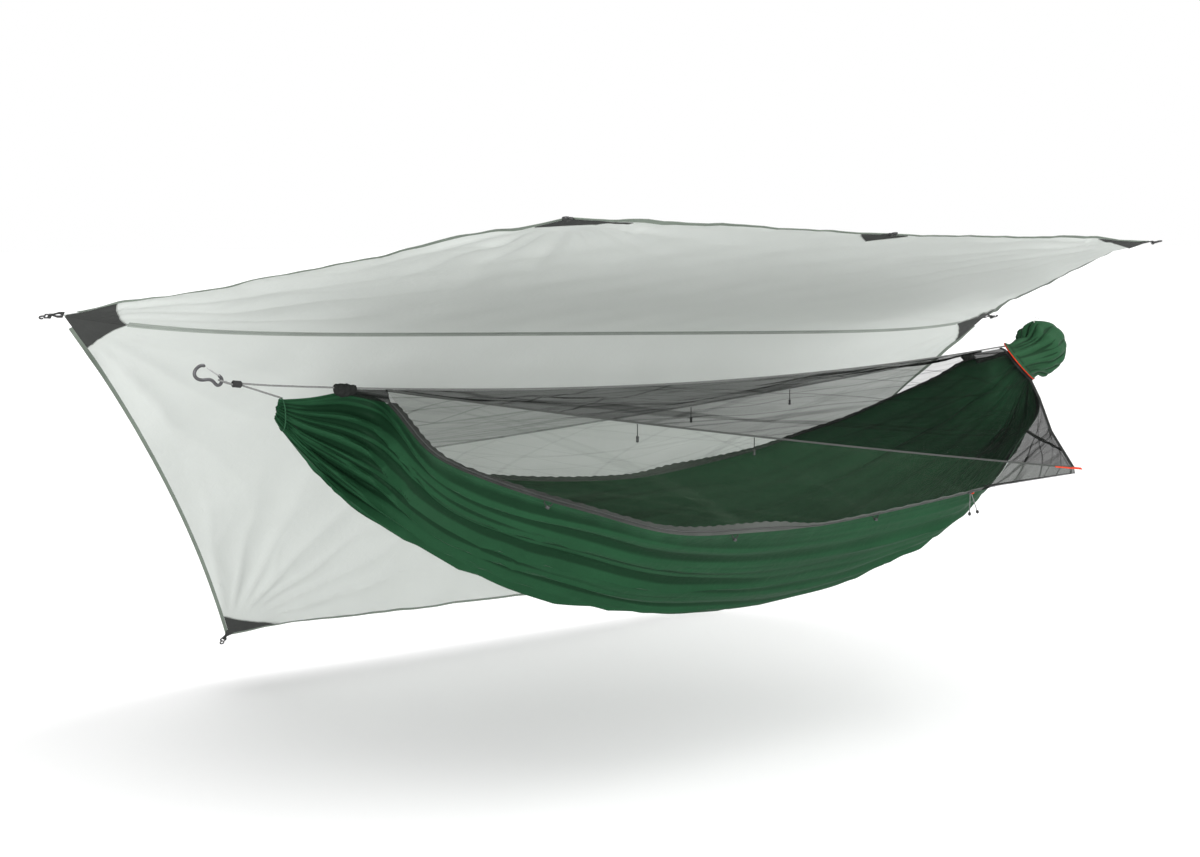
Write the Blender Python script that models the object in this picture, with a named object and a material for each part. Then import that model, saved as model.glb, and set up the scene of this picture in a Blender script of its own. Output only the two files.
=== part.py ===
"""Hammock tent: a gathered-end hammock with a zipped bug net, under a six-cornered tarp.

Frame: metres, +Z up, +X along the hammock from the head end to the sack end, +Y to
the back. The origin is half way between the hammock's two gathered ends.
"""

import math

import bmesh
import bpy
import numpy as np
from mathutils import Matrix, Vector

# Tarp, pitched with its front side raised like a porch
TARP_RIDGE = 3.19
TARP_SIDE = 1.82
TARP_WIDTH = 1.22
TARP_THICK = 0.0012
FRONT_RISE_DEG = 12.2
BACK_DROP_DEG = 55.9
TARP_TILT_DEG = 2.01
RIDGE_PLACE = (-0.03, 0.51, 0.15)
EDGE_CURVE_SHARES = {"left": 0.030, "hem": 0.017, "right": 0.020}
TARP_COLUMNS = 14
TARP_FLAT_SHARE = 0.85
TARP_ROW_SHARES = (0.0, 0.17, 0.34, 0.51, 0.68, TARP_FLAT_SHARE, 1.0)
RIDGE_SAG = (0.0, -0.034, -0.050)
RIDGE_SAG_POWER = 6
RIDGE_BEAD = 0.0020
RIDGE_BEAD_GAP = 0.0003
SEAM_TAPE_WIDTH = 0.016
SEAM_TAPE_THICK = 0.0008
SEAM_TAPE_GAP = 0.0003
BINDING_WIDTH = 0.010
BINDING_THICK = 0.0014
BINDING_GAP = 0.0003
BINDING_SETBACK = 0.045

# Dark corner patches, on the underside of the tarp
PATCH_THICK = 0.0016
PATCH_GAP = 0.0004
RIDGE_PATCH_ALONG = 0.150
RIDGE_PATCH_FRONT = 0.160
RIDGE_PATCH_BACK = 0.130
HEM_PATCH_SIDE = 0.085
HEM_PATCH_ALONG = 0.170
MIDDLE_PATCH_HALF = 0.075
MIDDLE_PATCH_DEPTH = 0.065
PATCH_BOW_SHARE = 0.94

# Strap tails with an eyelet, curled round the bar of a flat hook
EYELET_PLATE_HALF = 0.013
EYELET_PLATE_WIDE = 0.026
EYELET_LONG = 0.016
EYELET_WIDE = 0.010
TONGUE_WIDE = 0.010
TONGUE_LENGTH = 0.008
CURL_BORE = 0.0060
CURL_STEPS = 9
CURL_TURN_DEG = 290
HOOK_THICK = 0.0034
HOOK_BAR = 0.0034
HOOK_WINDOW = 0.0085
HOOK_SIDE_CLEAR = 0.0012
HOOK_RAIL = 0.0032
HOOK_STEM = 0.0036
HOOK_STEM_LENGTH = 0.004
HOOK_BEND = 0.0060
HOOK_BEND_DEG = 215
HOOK_BEND_STEPS = 7
HOOK_TAPER_SHARE = 0.35
STRAP_ROLL_DEG = 34.0

# Hammock cloth
SPAN_HALF = 1.295
BELLY_DEPTH = 0.640
BELLY_LENGTH_POWER = 1.90
BELLY_END_POWER = 0.86
BELLY_SIDE_SHIFT = 0.070
BELLY_SECTION_POWER = 1.65
END_HANG = 0.022
CLOTH_THICK = 0.0016
CLOTH_COLUMNS = 34
CLOTH_ROWS = 16
PLEAT_COUNT = 4
PLEAT_DEPTH = 0.0060
PLEAT_FADE = 0.22
NECK_START = 1.08
NECK_LENGTH = 0.13
NECK_SHARE = 0.50

# The front edge of the cloth, head end first; the back edge is the same, turned half round
FRONT_EDGE_LEFT = [
    (-1.292, -0.012, 0.027),
    (-1.179, 0.010, 0.026),
    (-1.106, 0.020, 0.030),
    (-1.046, 0.015, 0.018),
    (-1.037, -0.080, -0.006),
    (-1.035, -0.160, -0.047),
    (-1.019, -0.270, -0.101),
    (-0.923, -0.335, -0.154),
    (-0.795, -0.375, -0.205),
    (-0.676, -0.430, -0.246),
    (-0.553, -0.475, -0.287),
    (-0.300, -0.466, -0.320),
]
ZIP_ARC_START = (0.000, -0.434, -0.3340)
ZIP_ARC_MIDDLE = (0.270, -0.438, -0.3180)
ZIP_ARC_END = (0.520, -0.470, -0.2880)
FRONT_EDGE_RIGHT = [
    (0.725, -0.395, -0.214),
    (0.931, -0.275, -0.168),
    (1.100, -0.160, -0.128),
    (1.180, -0.070, -0.092),
    (1.226, -0.018, -0.058),
    (1.290, -0.012, 0.010),
]
ZIP_ARC_STEPS = 6
EDGE_STEP_SHARE = 0.5
EDGE_SEARCH_STEPS = 2001

# Bug net
NET_THICK = 0.0010
NET_HEM_COLUMNS = 6
NET_HEM_SHARE = 0.80
NET_LOW_BAND_COUNT = 3
NET_END_POWER = 6
NET_LEFT_X = -1.014
NET_RIGHT_X = 1.098
NET_START_DROP = 0.006
RIDGE_CORD_LOW = -0.003
RIDGE_CORD_RISE = 0.070
PULLOUT_TIP = (0.724, -0.620, -0.229)
HEM_TIP_DROP = 0.010
WING_CURVE = 0.012
WING_END_OFFSET = (0.004, -0.004, 0.003)
NET_MOUTH_DEG = (55.0, 0.0, -55.0)
NET_WING_BAND_COUNT = 2
NET_MOUTH_CLEAR = 0.006
WING_BAND_COUNT = 2
WING_GAP = 0.0030
WING_TOP_SHARE = 0.80
NET_SAG = 0.012
NET_CORD_DROP = 0.0026
NET_CORD_SIDE = 0.0022

# The net's gathered end, wrapped round the ridge cord
BUNDLE_X = (-1.142, -1.0995)
BUNDLE_SIZE = 0.0090
BUNDLE_SIDES = 12
BUNDLE_SHARES = [(0.0, 0.35), (0.15, 0.85), (0.45, 1.0), (0.75, 0.80), (1.0, 0.55)]
BUNDLE_DROP_SHARE = 1.30

# Zipper tape, slider and pull
ZIP_TAPE_WIDTH = 0.022
ZIP_TAPE_THICK = 0.0014
ZIP_TAPE_GAP = 0.0004
SHARPEST_BEND_SHARE = -0.5
ZIP_START_KNOT = 4
TAPE_LEAN_SHARE = 0.12
WING_END_X = 1.120
TAPE_TURN_SHARE = 0.09
SLIDER_LENGTH = 0.020
SLIDER_WIDTH = 0.012
SLIDER_THICK = 0.0050
SLIDER_GAP = 0.0004
SLIDER_AT_SHARE = 0.93
SLIDER_CORNER_SHARE = 0.72
PULL_CORD = 0.0024
PULL_LENGTH = 0.060
PULL_DROP = 0.0021
PULL_KNOT = 0.0075
PULL_KNOT_LENGTH = 0.010
KNOT_SHARES = (0.35, 0.75)
TIE_LOOP_RADIUS = 0.010
TIE_LOOP_CORD = 0.0024
TIE_LOOP_GAP = 0.0018
TIE_LOOP_X = (-0.790, -0.320, 0.175)
TOGGLE_LENGTH = 0.046
TOGGLE_CORD = 0.0024
TOGGLE_BARREL = 0.0075
TOGGLE_BARREL_LENGTH = 0.016
TOGGLE_SHARES = (0.35, 0.52)
TOGGLE_INSET = 0.0022
TOGGLE_DROP = 0.0011
HANG_GAP = 0.0004
PULLOUT_LENGTH = 0.080
PULLOUT_WIDTH = 0.010
PULLOUT_THICK = 0.0014
PULLOUT_OVERRUN = 0.018
PULLOUT_GAP = 0.0006
PULLOUT_SEAM_SHARE = 0.9

# Cords and their hardware
CORD = 0.0045
CORD_GAP = 0.0004
COLLAR_AT = (-1.386, 0.0, 0.0668)
COLLAR_TOWARDS = (-1.275, 0.0, 0.050)
COLLAR_LENGTH = 0.022
COLLAR_RADIUS = 0.0079
COLLAR_WALL = 0.0022
COLLAR_SIDES = 12
STRAND_LOW = 0.0016
STRAND_SIDE = 0.0026
STRAND_HIGH = 0.0025
LOOP_AT = (0.0012, 0.0045)
LOOP_GAP = 0.0008
LOOP_END_SHARE = 0.45
LEAVE_SHARE = 0.55
LEAVE_HIGH_SHARE = 0.60
RIDGE_CORD_INSIDE_SHARE = 0.30
RIDGE_CORD_X = (-1.30, 1.20)
RIDGE_CORD_TAIL = [(-0.060, 0.0, -0.028), (-0.020, 0.0, -0.036)]
STOWED_LOOP_AT = (0.0004, 0.0)
STOWED_COLLAR_OFFSET = (0.016, 0.0, -0.030)
STOWED_TURN = (-0.012, 0.0, -0.008)
STOWED_END = (0.012, 0.0, 0.0)
CORD_STEPS = 40
LOOP_STEPS = 7
RIDGE_CORD_KNOTS = 25
RIDGE_CORD_STEPS = 60
CINCH_X = 1.280
CINCH_HALF_Y = 0.024
CINCH_LEFT_HALF_Z = 0.044
CINCH_LEFT_Z = -0.010
CINCH_RIGHT_HALF_Z = 0.032
CINCH_RIGHT_Z = 0.002
CINCH_CORD = 0.0030
CINCH_STEPS = 20

# Wire-gate carabiner, (along, across) from its small end
CARABINER_AT = (-1.4218, 0.0, 0.0713)
CARABINER_LEAN_DEG = 25.7
CARABINER_ROD = 0.0078
CARABINER_LINE = [
    (0.0150, 0.0140),
    (0.0090, 0.0118),
    (0.0035, 0.0085),
    (0.0010, 0.0030),
    (0.0018, -0.0040),
    (0.0065, -0.0080),
    (0.0140, -0.0068),
    (0.0220, -0.0036),
    (0.0300, -0.0040),
    (0.0385, -0.0080),
    (0.0475, -0.0120),
    (0.0570, -0.0125),
    (0.0650, -0.0080),
    (0.0680, 0.0005),
    (0.0660, 0.0095),
    (0.0610, 0.0165),
    (0.0555, 0.0195),
    (0.0500, 0.0190),
]
CARABINER_STEPS = 30
GATE_WIRE = 0.0020
GATE_GAP = 0.0004
GATE_PIN_GAP = 0.0002
GATE_PIN_DEPTH = 0.0018
GATE_BEND = 0.0016
GATE_END_GAP = 0.0006
STOWED_AT = (1.322, 0.0, 0.082)
STOWED_LEAN_DEG = 4.0

# Stuff sack, drawn over the sack end
SACK_MOUTH = (1.185, 0.0, -0.0075)
SACK_END = (1.368, 0.0, 0.070)
SACK_MOUTH_UP = (-0.070, 0.0, 0.0580)
SACK_MOUTH_FRONT = (-0.062, -0.060, -0.006)
SACK_HEIGHT = 0.170
SACK_WIDTH = 0.156
SACK_RING_SHARES = [
    (0.00, 1.00, 1.00),
    (0.14, 0.93, 0.97),
    (0.38, 0.98, 1.00),
    (0.64, 1.00, 0.97),
    (0.84, 0.80, 0.80),
    (0.95, 0.50, 0.50),
    (1.00, 0.20, 0.20),
]
SACK_SEGMENTS = 16
SACK_SQUARE_SHARE = 0.4
SACK_WALL = 0.0016
TRIM_CORD = 0.0034
TRIM_GAP = 0.0004
LOOP_CORD = 0.0024
LOOP_HALF = 0.012
LOOP_RINGS = (2, 3)
LOOP_AT_SHARE = 0.72

OVERRUN = 0.002
TUBE_SIDES = 8
THIN_TUBE_SIDES = 6
HALF_LOOP_STEPS = 9
SWING_HEIGHT = 0.100
SHARP_EDGE_DEG = 40
SIDEWAYS = np.array((0.0, 1.0, 0.0))


class Fly:
    """One side of the tarp: x runs along the ridge, s down the cloth, n outwards."""

    def __init__(self, angle_deg, back):
        tilt = math.radians(TARP_TILT_DEG)
        angle = math.radians(angle_deg)
        self.back = back
        self.along = Vector((math.cos(tilt), 0, -math.sin(tilt)))
        up = Vector((math.sin(tilt), 0, math.cos(tilt)))
        side = Vector((0, 1, 0)) if back else Vector((0, -1, 0))
        rise = -math.sin(angle) if back else math.sin(angle)
        self.down = side * math.cos(angle) + up * rise
        self.out = up * math.cos(angle) - side * rise

    def point(self, x, s, n=0.0):
        return Vector(RIDGE_PLACE) + self.along * x + self.down * s + self.out * n

    def vector(self, x, s):
        return self.along * x + self.down * s


def clear_scene():
    for thing in list(bpy.data.objects):
        bpy.data.objects.remove(thing, do_unlink=True)


def material(name, colour, roughness, metallic=0.0):
    made = bpy.data.materials.new(name)
    made.use_nodes = True
    shader = made.node_tree.nodes["Principled BSDF"]
    shader.inputs["Base Color"].default_value = (*colour, 1)
    shader.inputs["Roughness"].default_value = roughness
    shader.inputs["Metallic"].default_value = metallic
    return made


def empty(name, place):
    made = bpy.data.objects.new(name, None)
    made.location = place
    bpy.context.collection.objects.link(made)
    bpy.context.view_layer.update()
    return made


def add_mesh(name, points, faces, carrier, look, smooth=False):
    """One closed solid, given in world places and hung on an empty."""
    origin = carrier.matrix_world.translation
    mesh = bpy.data.meshes.new(name)
    mesh.from_pydata([Vector(p) - origin for p in points], [], faces)
    form = bmesh.new()
    form.from_mesh(mesh)
    bmesh.ops.recalc_face_normals(form, faces=form.faces)
    form.to_mesh(mesh)
    form.free()
    if smooth:
        mesh.shade_smooth()
        mesh.set_sharp_from_angle(angle=math.radians(SHARP_EDGE_DEG))
    made = bpy.data.objects.new(name, mesh)
    bpy.context.collection.objects.link(made)
    made.parent = carrier
    mesh.materials.append(look())
    return made


def add_cord(name, points, diameter, carrier, look):
    origin = carrier.matrix_world.translation
    curve = bpy.data.curves.new(name, "CURVE")
    curve.dimensions = "3D"
    curve.bevel_depth = diameter / 2
    curve.bevel_resolution = 2
    curve.use_fill_caps = True
    line = curve.splines.new("POLY")
    line.points.add(len(points) - 1)
    for spot, p in zip(line.points, points):
        spot.co = (*(Vector(p) - origin), 1)
    made = bpy.data.objects.new(name, curve)
    bpy.context.collection.objects.link(made)
    made.parent = carrier
    curve.materials.append(look())
    return made


def natural_spline(points):
    """A smooth curve through the points; its parameter is the share of the chord length."""
    p = np.array(points, float)
    knots = np.concatenate([[0], np.cumsum(np.linalg.norm(np.diff(p, axis=0), axis=1))])
    knots /= knots[-1]
    h = np.diff(knots)
    count = len(p)
    system = np.eye(count)
    right = np.zeros_like(p)
    for i in range(1, count - 1):
        system[i, i - 1 : i + 2] = h[i - 1], 2 * (h[i - 1] + h[i]), h[i]
        right[i] = 6 * ((p[i + 1] - p[i]) / h[i] - (p[i] - p[i - 1]) / h[i - 1])
    bend = np.linalg.solve(system, right)

    def at(t):
        i = int(np.clip(np.searchsorted(knots, t) - 1, 0, count - 2))
        a, b = knots[i + 1] - t, t - knots[i]
        return (
            (bend[i] * a**3 + bend[i + 1] * b**3) / (6 * h[i])
            + (p[i] / h[i] - bend[i] * h[i] / 6) * a
            + (p[i + 1] / h[i] - bend[i + 1] * h[i] / 6) * b
        )

    return at


def smooth_step(value):
    value = min(1.0, max(0.0, value))
    return value * value * (3 - 2 * value)


def unit(vector):
    return vector / np.linalg.norm(vector)


def spread(start, end, count):
    return [start + (end - start) * i / (count - 1) for i in range(count)]


def grid_solid(name, grid, thick, carrier, look, wrap=False, smooth=True):
    """A sheet of even thickness on a grid of places; wrap closes each row to a ring."""
    rows, columns = len(grid), len(grid[0])
    p = np.array([[list(q) for q in row] for row in grid], float)
    if wrap:
        du = np.roll(p, -1, axis=1) - np.roll(p, 1, axis=1)
    else:
        du = np.gradient(p, axis=1)
    dv = np.gradient(p, axis=0)
    normal = np.cross(du, dv)
    normal /= np.linalg.norm(normal, axis=2, keepdims=True)
    half = thick / 2
    points = [*(p + normal * half).reshape(-1, 3), *(p - normal * half).reshape(-1, 3)]
    count = rows * columns

    def at(row, column, side=0):
        return side * count + row * columns + column % columns

    last = columns if wrap else columns - 1
    faces = []
    for i in range(rows - 1):
        for j in range(last):
            square = [(i, j), (i, j + 1), (i + 1, j + 1), (i + 1, j)]
            if j >= last / 2:
                square = square[1:] + square[:1]
            for half_square in (square[:3], [square[0], *square[2:]]):
                faces.append([at(*corner) for corner in half_square])
                faces.append([at(*corner, 1) for corner in reversed(half_square)])
    for j in range(last):
        faces.append([at(0, j, 1), at(0, j + 1, 1), at(0, j + 1), at(0, j)])
        faces.append(
            [at(rows - 1, j), at(rows - 1, j + 1), at(rows - 1, j + 1, 1), at(rows - 1, j, 1)]
        )
    if not wrap:
        for i in range(rows - 1):
            faces.append([at(i, 0), at(i + 1, 0), at(i + 1, 0, 1), at(i, 0, 1)])
            faces.append(
                [
                    at(i, columns - 1, 1),
                    at(i + 1, columns - 1, 1),
                    at(i + 1, columns - 1),
                    at(i, columns - 1),
                ]
            )
    return add_mesh(name, points, faces, carrier, look, smooth)


def sheet_solid(name, points, normals, faces, thick, carrier, look):
    """A sheet of even thickness on any flat or bent patchwork of faces."""
    half = thick / 2
    top = [Vector(p) + Vector(n) * half for p, n in zip(points, normals)]
    low = [Vector(p) - Vector(n) * half for p, n in zip(points, normals)]
    count = len(points)
    walls = {}
    for face in faces:
        for a, b in zip(face, face[1:] + face[:1]):
            if (b, a) in walls:
                del walls[(b, a)]
            else:
                walls[(a, b)] = True
    solid = list(faces) + [[count + i for i in reversed(face)] for face in faces]
    solid += [[b, a, count + a, count + b] for a, b in walls]
    return add_mesh(name, top + low, solid, carrier, look)


def tube_rings(path, radius, sides, closed):
    """Rings of places round a path, with as little twist as the path allows."""
    p = np.array([list(q) for q in path], float)
    if closed:
        tangent = np.roll(p, -1, axis=0) - np.roll(p, 1, axis=0)
    else:
        tangent = np.gradient(p, axis=0)
    tangent /= np.linalg.norm(tangent, axis=1, keepdims=True)
    guess = np.eye(3)[np.argmin(np.abs(tangent[0]))]
    side = unit(np.cross(tangent[0], guess))
    rings = []
    for q, t in zip(p, tangent):
        side = unit(side - t * side.dot(t))
        other = np.cross(t, side)
        turn = [math.tau * k / sides for k in range(sides)]
        rings.append([q + radius * (math.cos(a) * side + math.sin(a) * other) for a in turn])
    return rings


def add_rings(name, rings, carrier, look):
    """A ring-shaped body, whose section is the closed line of rings."""
    sides = len(rings[0])
    faces = []
    for i in range(len(rings)):
        for k in range(sides):
            a, b = i * sides, (i + 1) % len(rings) * sides
            faces.append([a + k, a + (k + 1) % sides, b + (k + 1) % sides, b + k])
    points = [p for ring in rings for p in ring]
    return add_mesh(name, points, faces, carrier, look, smooth=True)


def add_tube(name, path, radius, sides, carrier, look, closed=False):
    rings = tube_rings(path, radius, sides, closed)
    count = len(rings)
    points = [p for ring in rings for p in ring]
    faces = []
    for i in range(count if closed else count - 1):
        for k in range(sides):
            a, b = i * sides, (i + 1) % count * sides
            faces.append([a + k, a + (k + 1) % sides, b + (k + 1) % sides, b + k])
    if not closed:
        faces.append(list(reversed(range(sides))))
        faces.append([(count - 1) * sides + k for k in range(sides)])
    return add_mesh(name, points, faces, carrier, look, smooth=True)


def turned(name, profile, top, sides, carrier, look):
    """A turned piece that hangs down from top: profile holds (drop, radius)."""
    points = []
    for drop, radius in profile:
        for k in range(sides):
            a = math.tau * k / sides
            points.append(Vector(top) + Vector((radius * math.cos(a), radius * math.sin(a), -drop)))
    faces = [list(range(sides))]
    for i in range(len(profile) - 1):
        for k in range(sides):
            a, b = i * sides, (i + 1) * sides
            faces.append([a + k, b + k, b + (k + 1) % sides, a + (k + 1) % sides])
    faces.append([(len(profile) - 1) * sides + k for k in reversed(range(sides))])
    return add_mesh(name, points, faces, carrier, look, smooth=True)


def dark_cloth():
    return material("dark_cloth", (0.075, 0.078, 0.075), 0.85)


def tarp_cloth():
    return material("tarp_cloth", (0.66, 0.69, 0.66), 0.6)


def binding_cloth():
    return material("binding_cloth", (0.16, 0.19, 0.16), 0.8)


def tape_cloth():
    return material("tape_cloth", (0.26, 0.29, 0.26), 0.6)


def hook_plastic():
    return material("hook_plastic", (0.03, 0.03, 0.03), 0.45)


def green_cloth():
    return material("green_cloth", (0.028, 0.115, 0.050), 0.7)


def net_cloth():
    return material("net_cloth", (0.06, 0.06, 0.06), 0.9)


def zip_tape():
    return material("zip_tape", (0.07, 0.07, 0.07), 0.8)


def grey_cord():
    return material("grey_cord", (0.20, 0.20, 0.20), 0.85)


def white_cord():
    return material("white_cord", (0.75, 0.75, 0.72), 0.8)


def red_web():
    return material("red_web", (0.78, 0.08, 0.03), 0.7)


def grey_metal():
    return material("grey_metal", (0.32, 0.32, 0.32), 0.35, 1.0)


def bright_wire():
    return material("bright_wire", (0.75, 0.75, 0.75), 0.25, 1.0)


def edge_curve(start, end, bow_share):
    """The catenary-cut edge between two corners of a panel, as a function of its share."""
    start, end = np.array(start), np.array(end)
    run = end - start
    inwards = np.array([-run[1], run[0]])
    middle = (start + end) / 2
    if inwards.dot(np.array([0, TARP_WIDTH / 2]) - middle) < 0:
        inwards = -inwards

    def at(share):
        return start + run * share + inwards * (4 * share * (1 - share) * bow_share)

    return at


RIDGE_START_S = RIDGE_BEAD / 2 + RIDGE_BEAD_GAP
CORNERS = {
    "ridge_left": (-TARP_RIDGE / 2, RIDGE_START_S),
    "ridge_right": (TARP_RIDGE / 2, RIDGE_START_S),
    "left": (-TARP_SIDE / 2, TARP_WIDTH),
    "right": (TARP_SIDE / 2, TARP_WIDTH),
}
EDGES = {
    "left": edge_curve(CORNERS["ridge_left"], CORNERS["left"], EDGE_CURVE_SHARES["left"]),
    "hem": edge_curve(CORNERS["left"], CORNERS["right"], EDGE_CURVE_SHARES["hem"]),
    "right": edge_curve(CORNERS["right"], CORNERS["ridge_right"], EDGE_CURVE_SHARES["right"]),
}


def edge_length(name):
    shares = spread(0.0, 1.0, TARP_COLUMNS)
    places = [EDGES[name](share) for share in shares]
    return sum(np.linalg.norm(b - a) for a, b in zip(places, places[1:]))


def on_edge(name, distance):
    """A place on an edge, so far from its start, or from its end if negative."""
    share = distance / edge_length(name)
    return EDGES[name](share if distance >= 0 else 1 + share)


def panel_place(u, v):
    """Coons patch between the ridge, the two sides and the hem."""
    ridge = np.array(CORNERS["ridge_left"]) * (1 - u) + np.array(CORNERS["ridge_right"]) * u
    hem = EDGES["hem"](u)
    left = EDGES["left"](v)
    right = EDGES["right"](1 - v)
    corners = (1 - v) * ridge + v * (
        np.array(CORNERS["left"]) * (1 - u) + np.array(CORNERS["right"]) * u
    )
    return (1 - v) * ridge + v * hem + (1 - u) * left + u * right - corners


def ridge_sag(u, v=0.0):
    """How far the cloth hangs below the straight line between its ridge ends."""
    across = 1 - abs(2 * u - 1) ** RIDGE_SAG_POWER
    down = max(0.0, 1 - v / TARP_FLAT_SHARE) ** 2
    return Vector(RIDGE_SAG) * across * down


def panel_grid(fly):
    rows = []
    for v in TARP_ROW_SHARES:
        row = []
        for u in spread(0.0, 1.0, TARP_COLUMNS):
            x, s = panel_place(u, v)
            row.append(fly.point(x, s) + ridge_sag(u, v))
        rows.append(row)
    return rows


def build_panel(fly, name, carrier):
    grid_solid(name, panel_grid(fly), TARP_THICK, carrier, tarp_cloth)


def free_edge():
    """The panel's left side, hem and right side, short of the two ridge patches' tips."""
    hem = [panel_place(u, 1.0) for u in spread(0.0, 1.0, TARP_COLUMNS)]
    left = [panel_place(0.0, v) for v in TARP_ROW_SHARES[:-1]]
    right = [panel_place(1.0, v) for v in TARP_ROW_SHARES[-2::-1]]
    line = left + hem + right
    for end, following in ((0, 1), (-1, -2)):
        line[end] = line[end] + unit(line[following] - line[end]) * BINDING_SETBACK
    return np.array(line)


def build_binding(fly, name, carrier):
    """A strip round the three free edges, just outside the cloth."""
    line = free_edge()
    step = np.diff(line, axis=0)
    step /= np.linalg.norm(step, axis=1, keepdims=True)
    out = np.stack([-step[:, 1], step[:, 0]], axis=1)
    out *= -1 if out[0][0] > 0 else 1
    inner, outer = [], []
    for i, place in enumerate(line):
        before, after = out[max(i - 1, 0)], out[min(i, len(out) - 1)]
        mitre = before + after
        mitre *= 2 / mitre.dot(mitre)
        inner.append(place + mitre * BINDING_GAP)
        outer.append(place + mitre * (BINDING_GAP + BINDING_WIDTH))
    grid = [[fly.point(x, s) for x, s in row] for row in (inner, outer)]
    grid_solid(name, grid, BINDING_THICK, carrier, binding_cloth, smooth=False)


def build_seam_tape(fly, carrier):
    """The tape along the ridge, on the underside between the two patches."""
    low = fly.out * (TARP_THICK / 2 + SEAM_TAPE_GAP + SEAM_TAPE_THICK / 2)
    first, second = panel_grid(fly)[:2]
    first, second = list(first), list(second)
    for row in (first, second):
        row[0] += (row[1] - row[0]).normalized() * (RIDGE_PATCH_ALONG + PATCH_GAP)
        row[-1] += (row[-2] - row[-1]).normalized() * (RIDGE_PATCH_ALONG + PATCH_GAP)
    grid = [[], []]
    for a, b in zip(first, second):
        down = (b - a).normalized()
        grid[0].append(a + down * SEAM_TAPE_GAP - low)
        grid[1].append(a + down * (SEAM_TAPE_GAP + SEAM_TAPE_WIDTH) - low)
    grid_solid("ridge_seam_tape", grid, SEAM_TAPE_THICK, carrier, tape_cloth, smooth=False)


def build_ridge_patch(fly, name, end, edge_reach, carrier):
    """Half of a ridge-end patch, up to the fold at the ridge."""
    first, second = panel_grid(fly)[:2]
    if end == "left":
        tip, along, inside, side = first[0], first[1], second[1], second[0]
    else:
        tip, along, inside, side = first[-1], first[-2], second[-2], second[-1]
    inner = tip + (along - tip).normalized() * RIDGE_PATCH_ALONG
    outer = tip + (side - tip).normalized() * edge_reach
    along_share = RIDGE_PATCH_ALONG / (along - tip).length
    side_share = edge_reach / (side - tip).length
    share = along_share * side_share / (along_share + side_share)
    middle = tip + (inside - tip) * share * PATCH_BOW_SHARE
    points = [tip, outer, middle, inner]
    ridge_half = (inner - tip).cross(middle - tip).normalized()
    side_half = (middle - tip).cross(outer - tip).normalized()
    ridge_half *= 1 if ridge_half.dot(fly.out) > 0 else -1
    side_half *= 1 if side_half.dot(fly.out) > 0 else -1
    both = (ridge_half + side_half).normalized()
    normals = [both, side_half, both, ridge_half]
    depth = TARP_THICK / 2 + PATCH_GAP + PATCH_THICK / 2
    points = [p - n * depth for p, n in zip(points, normals)]
    faces = [[0, 1, 2], [0, 2, 3]]
    sheet_solid(name, points, normals, faces, PATCH_THICK, carrier, dark_cloth)


def strap_sheet(eyelet):
    """The plate, tongue and curl in (along, across, up), with normals and faces."""
    e, w = EYELET_PLATE_HALF, EYELET_PLATE_WIDE / 2
    t = TONGUE_WIDE / 2
    ring = [(-e, -w), (-e, 0), (-e, w), (0, w), (e, t), (e, 0), (e, -t), (0, -w)]
    count = len(ring)
    points = [Vector((a, b, 0)) for a, b in ring]
    faces = [list(range(count))]
    if eyelet:
        for a, b in ring:
            angle = math.atan2(b / w, a / e)
            long, wide = EYELET_LONG / 2, EYELET_WIDE / 2
            points.append(Vector((long * math.cos(angle), wide * math.sin(angle), 0)))
        faces = [[i, (i + 1) % count, count + (i + 1) % count, count + i] for i in range(count)]
    normals = [Vector((0, 0, 1))] * len(points)
    radius = (CURL_BORE + PATCH_THICK) / 2
    centre = e + TONGUE_LENGTH
    last = [4, 5, 6]
    for step in range(CURL_STEPS + 1):
        angle = math.radians(CURL_TURN_DEG) * step / CURL_STEPS
        up = math.cos(angle)
        ahead = math.sin(angle)
        base = len(points)
        for side in (t, 0, -t):
            points.append(Vector((centre + radius * ahead, side, -radius * (1 - up))))
            normals.append(Vector((ahead, 0, up)))
        for k in range(2):
            faces.append([last[k], base + k, base + k + 1, last[k + 1]])
        last = [base, base + 1, base + 2]
    return points, normals, faces, Vector((centre, 0, -radius))


def strap_frame(place, along, across):
    up = along.cross(across)
    turn = Matrix((along, across, up)).transposed()
    return place, turn


def build_strap(name, frame, carrier, patch=None):
    """A strap tail with an eyelet, or one sewn from the patch whose outline is given."""
    place, turn = frame
    points, normals, faces, pivot = strap_sheet(patch is None)
    points = [place + turn @ p for p in points]
    normals = [turn @ n for n in normals]
    if patch:
        base = len(points)
        points += patch
        normals += [turn @ Vector((0, 0, 1))] * len(patch)
        faces.append([2, 1, 0] + [base + i for i in range(len(patch))])
    sheet_solid(name, points, normals, faces, PATCH_THICK, carrier, dark_cloth)
    return place + turn @ pivot


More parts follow.
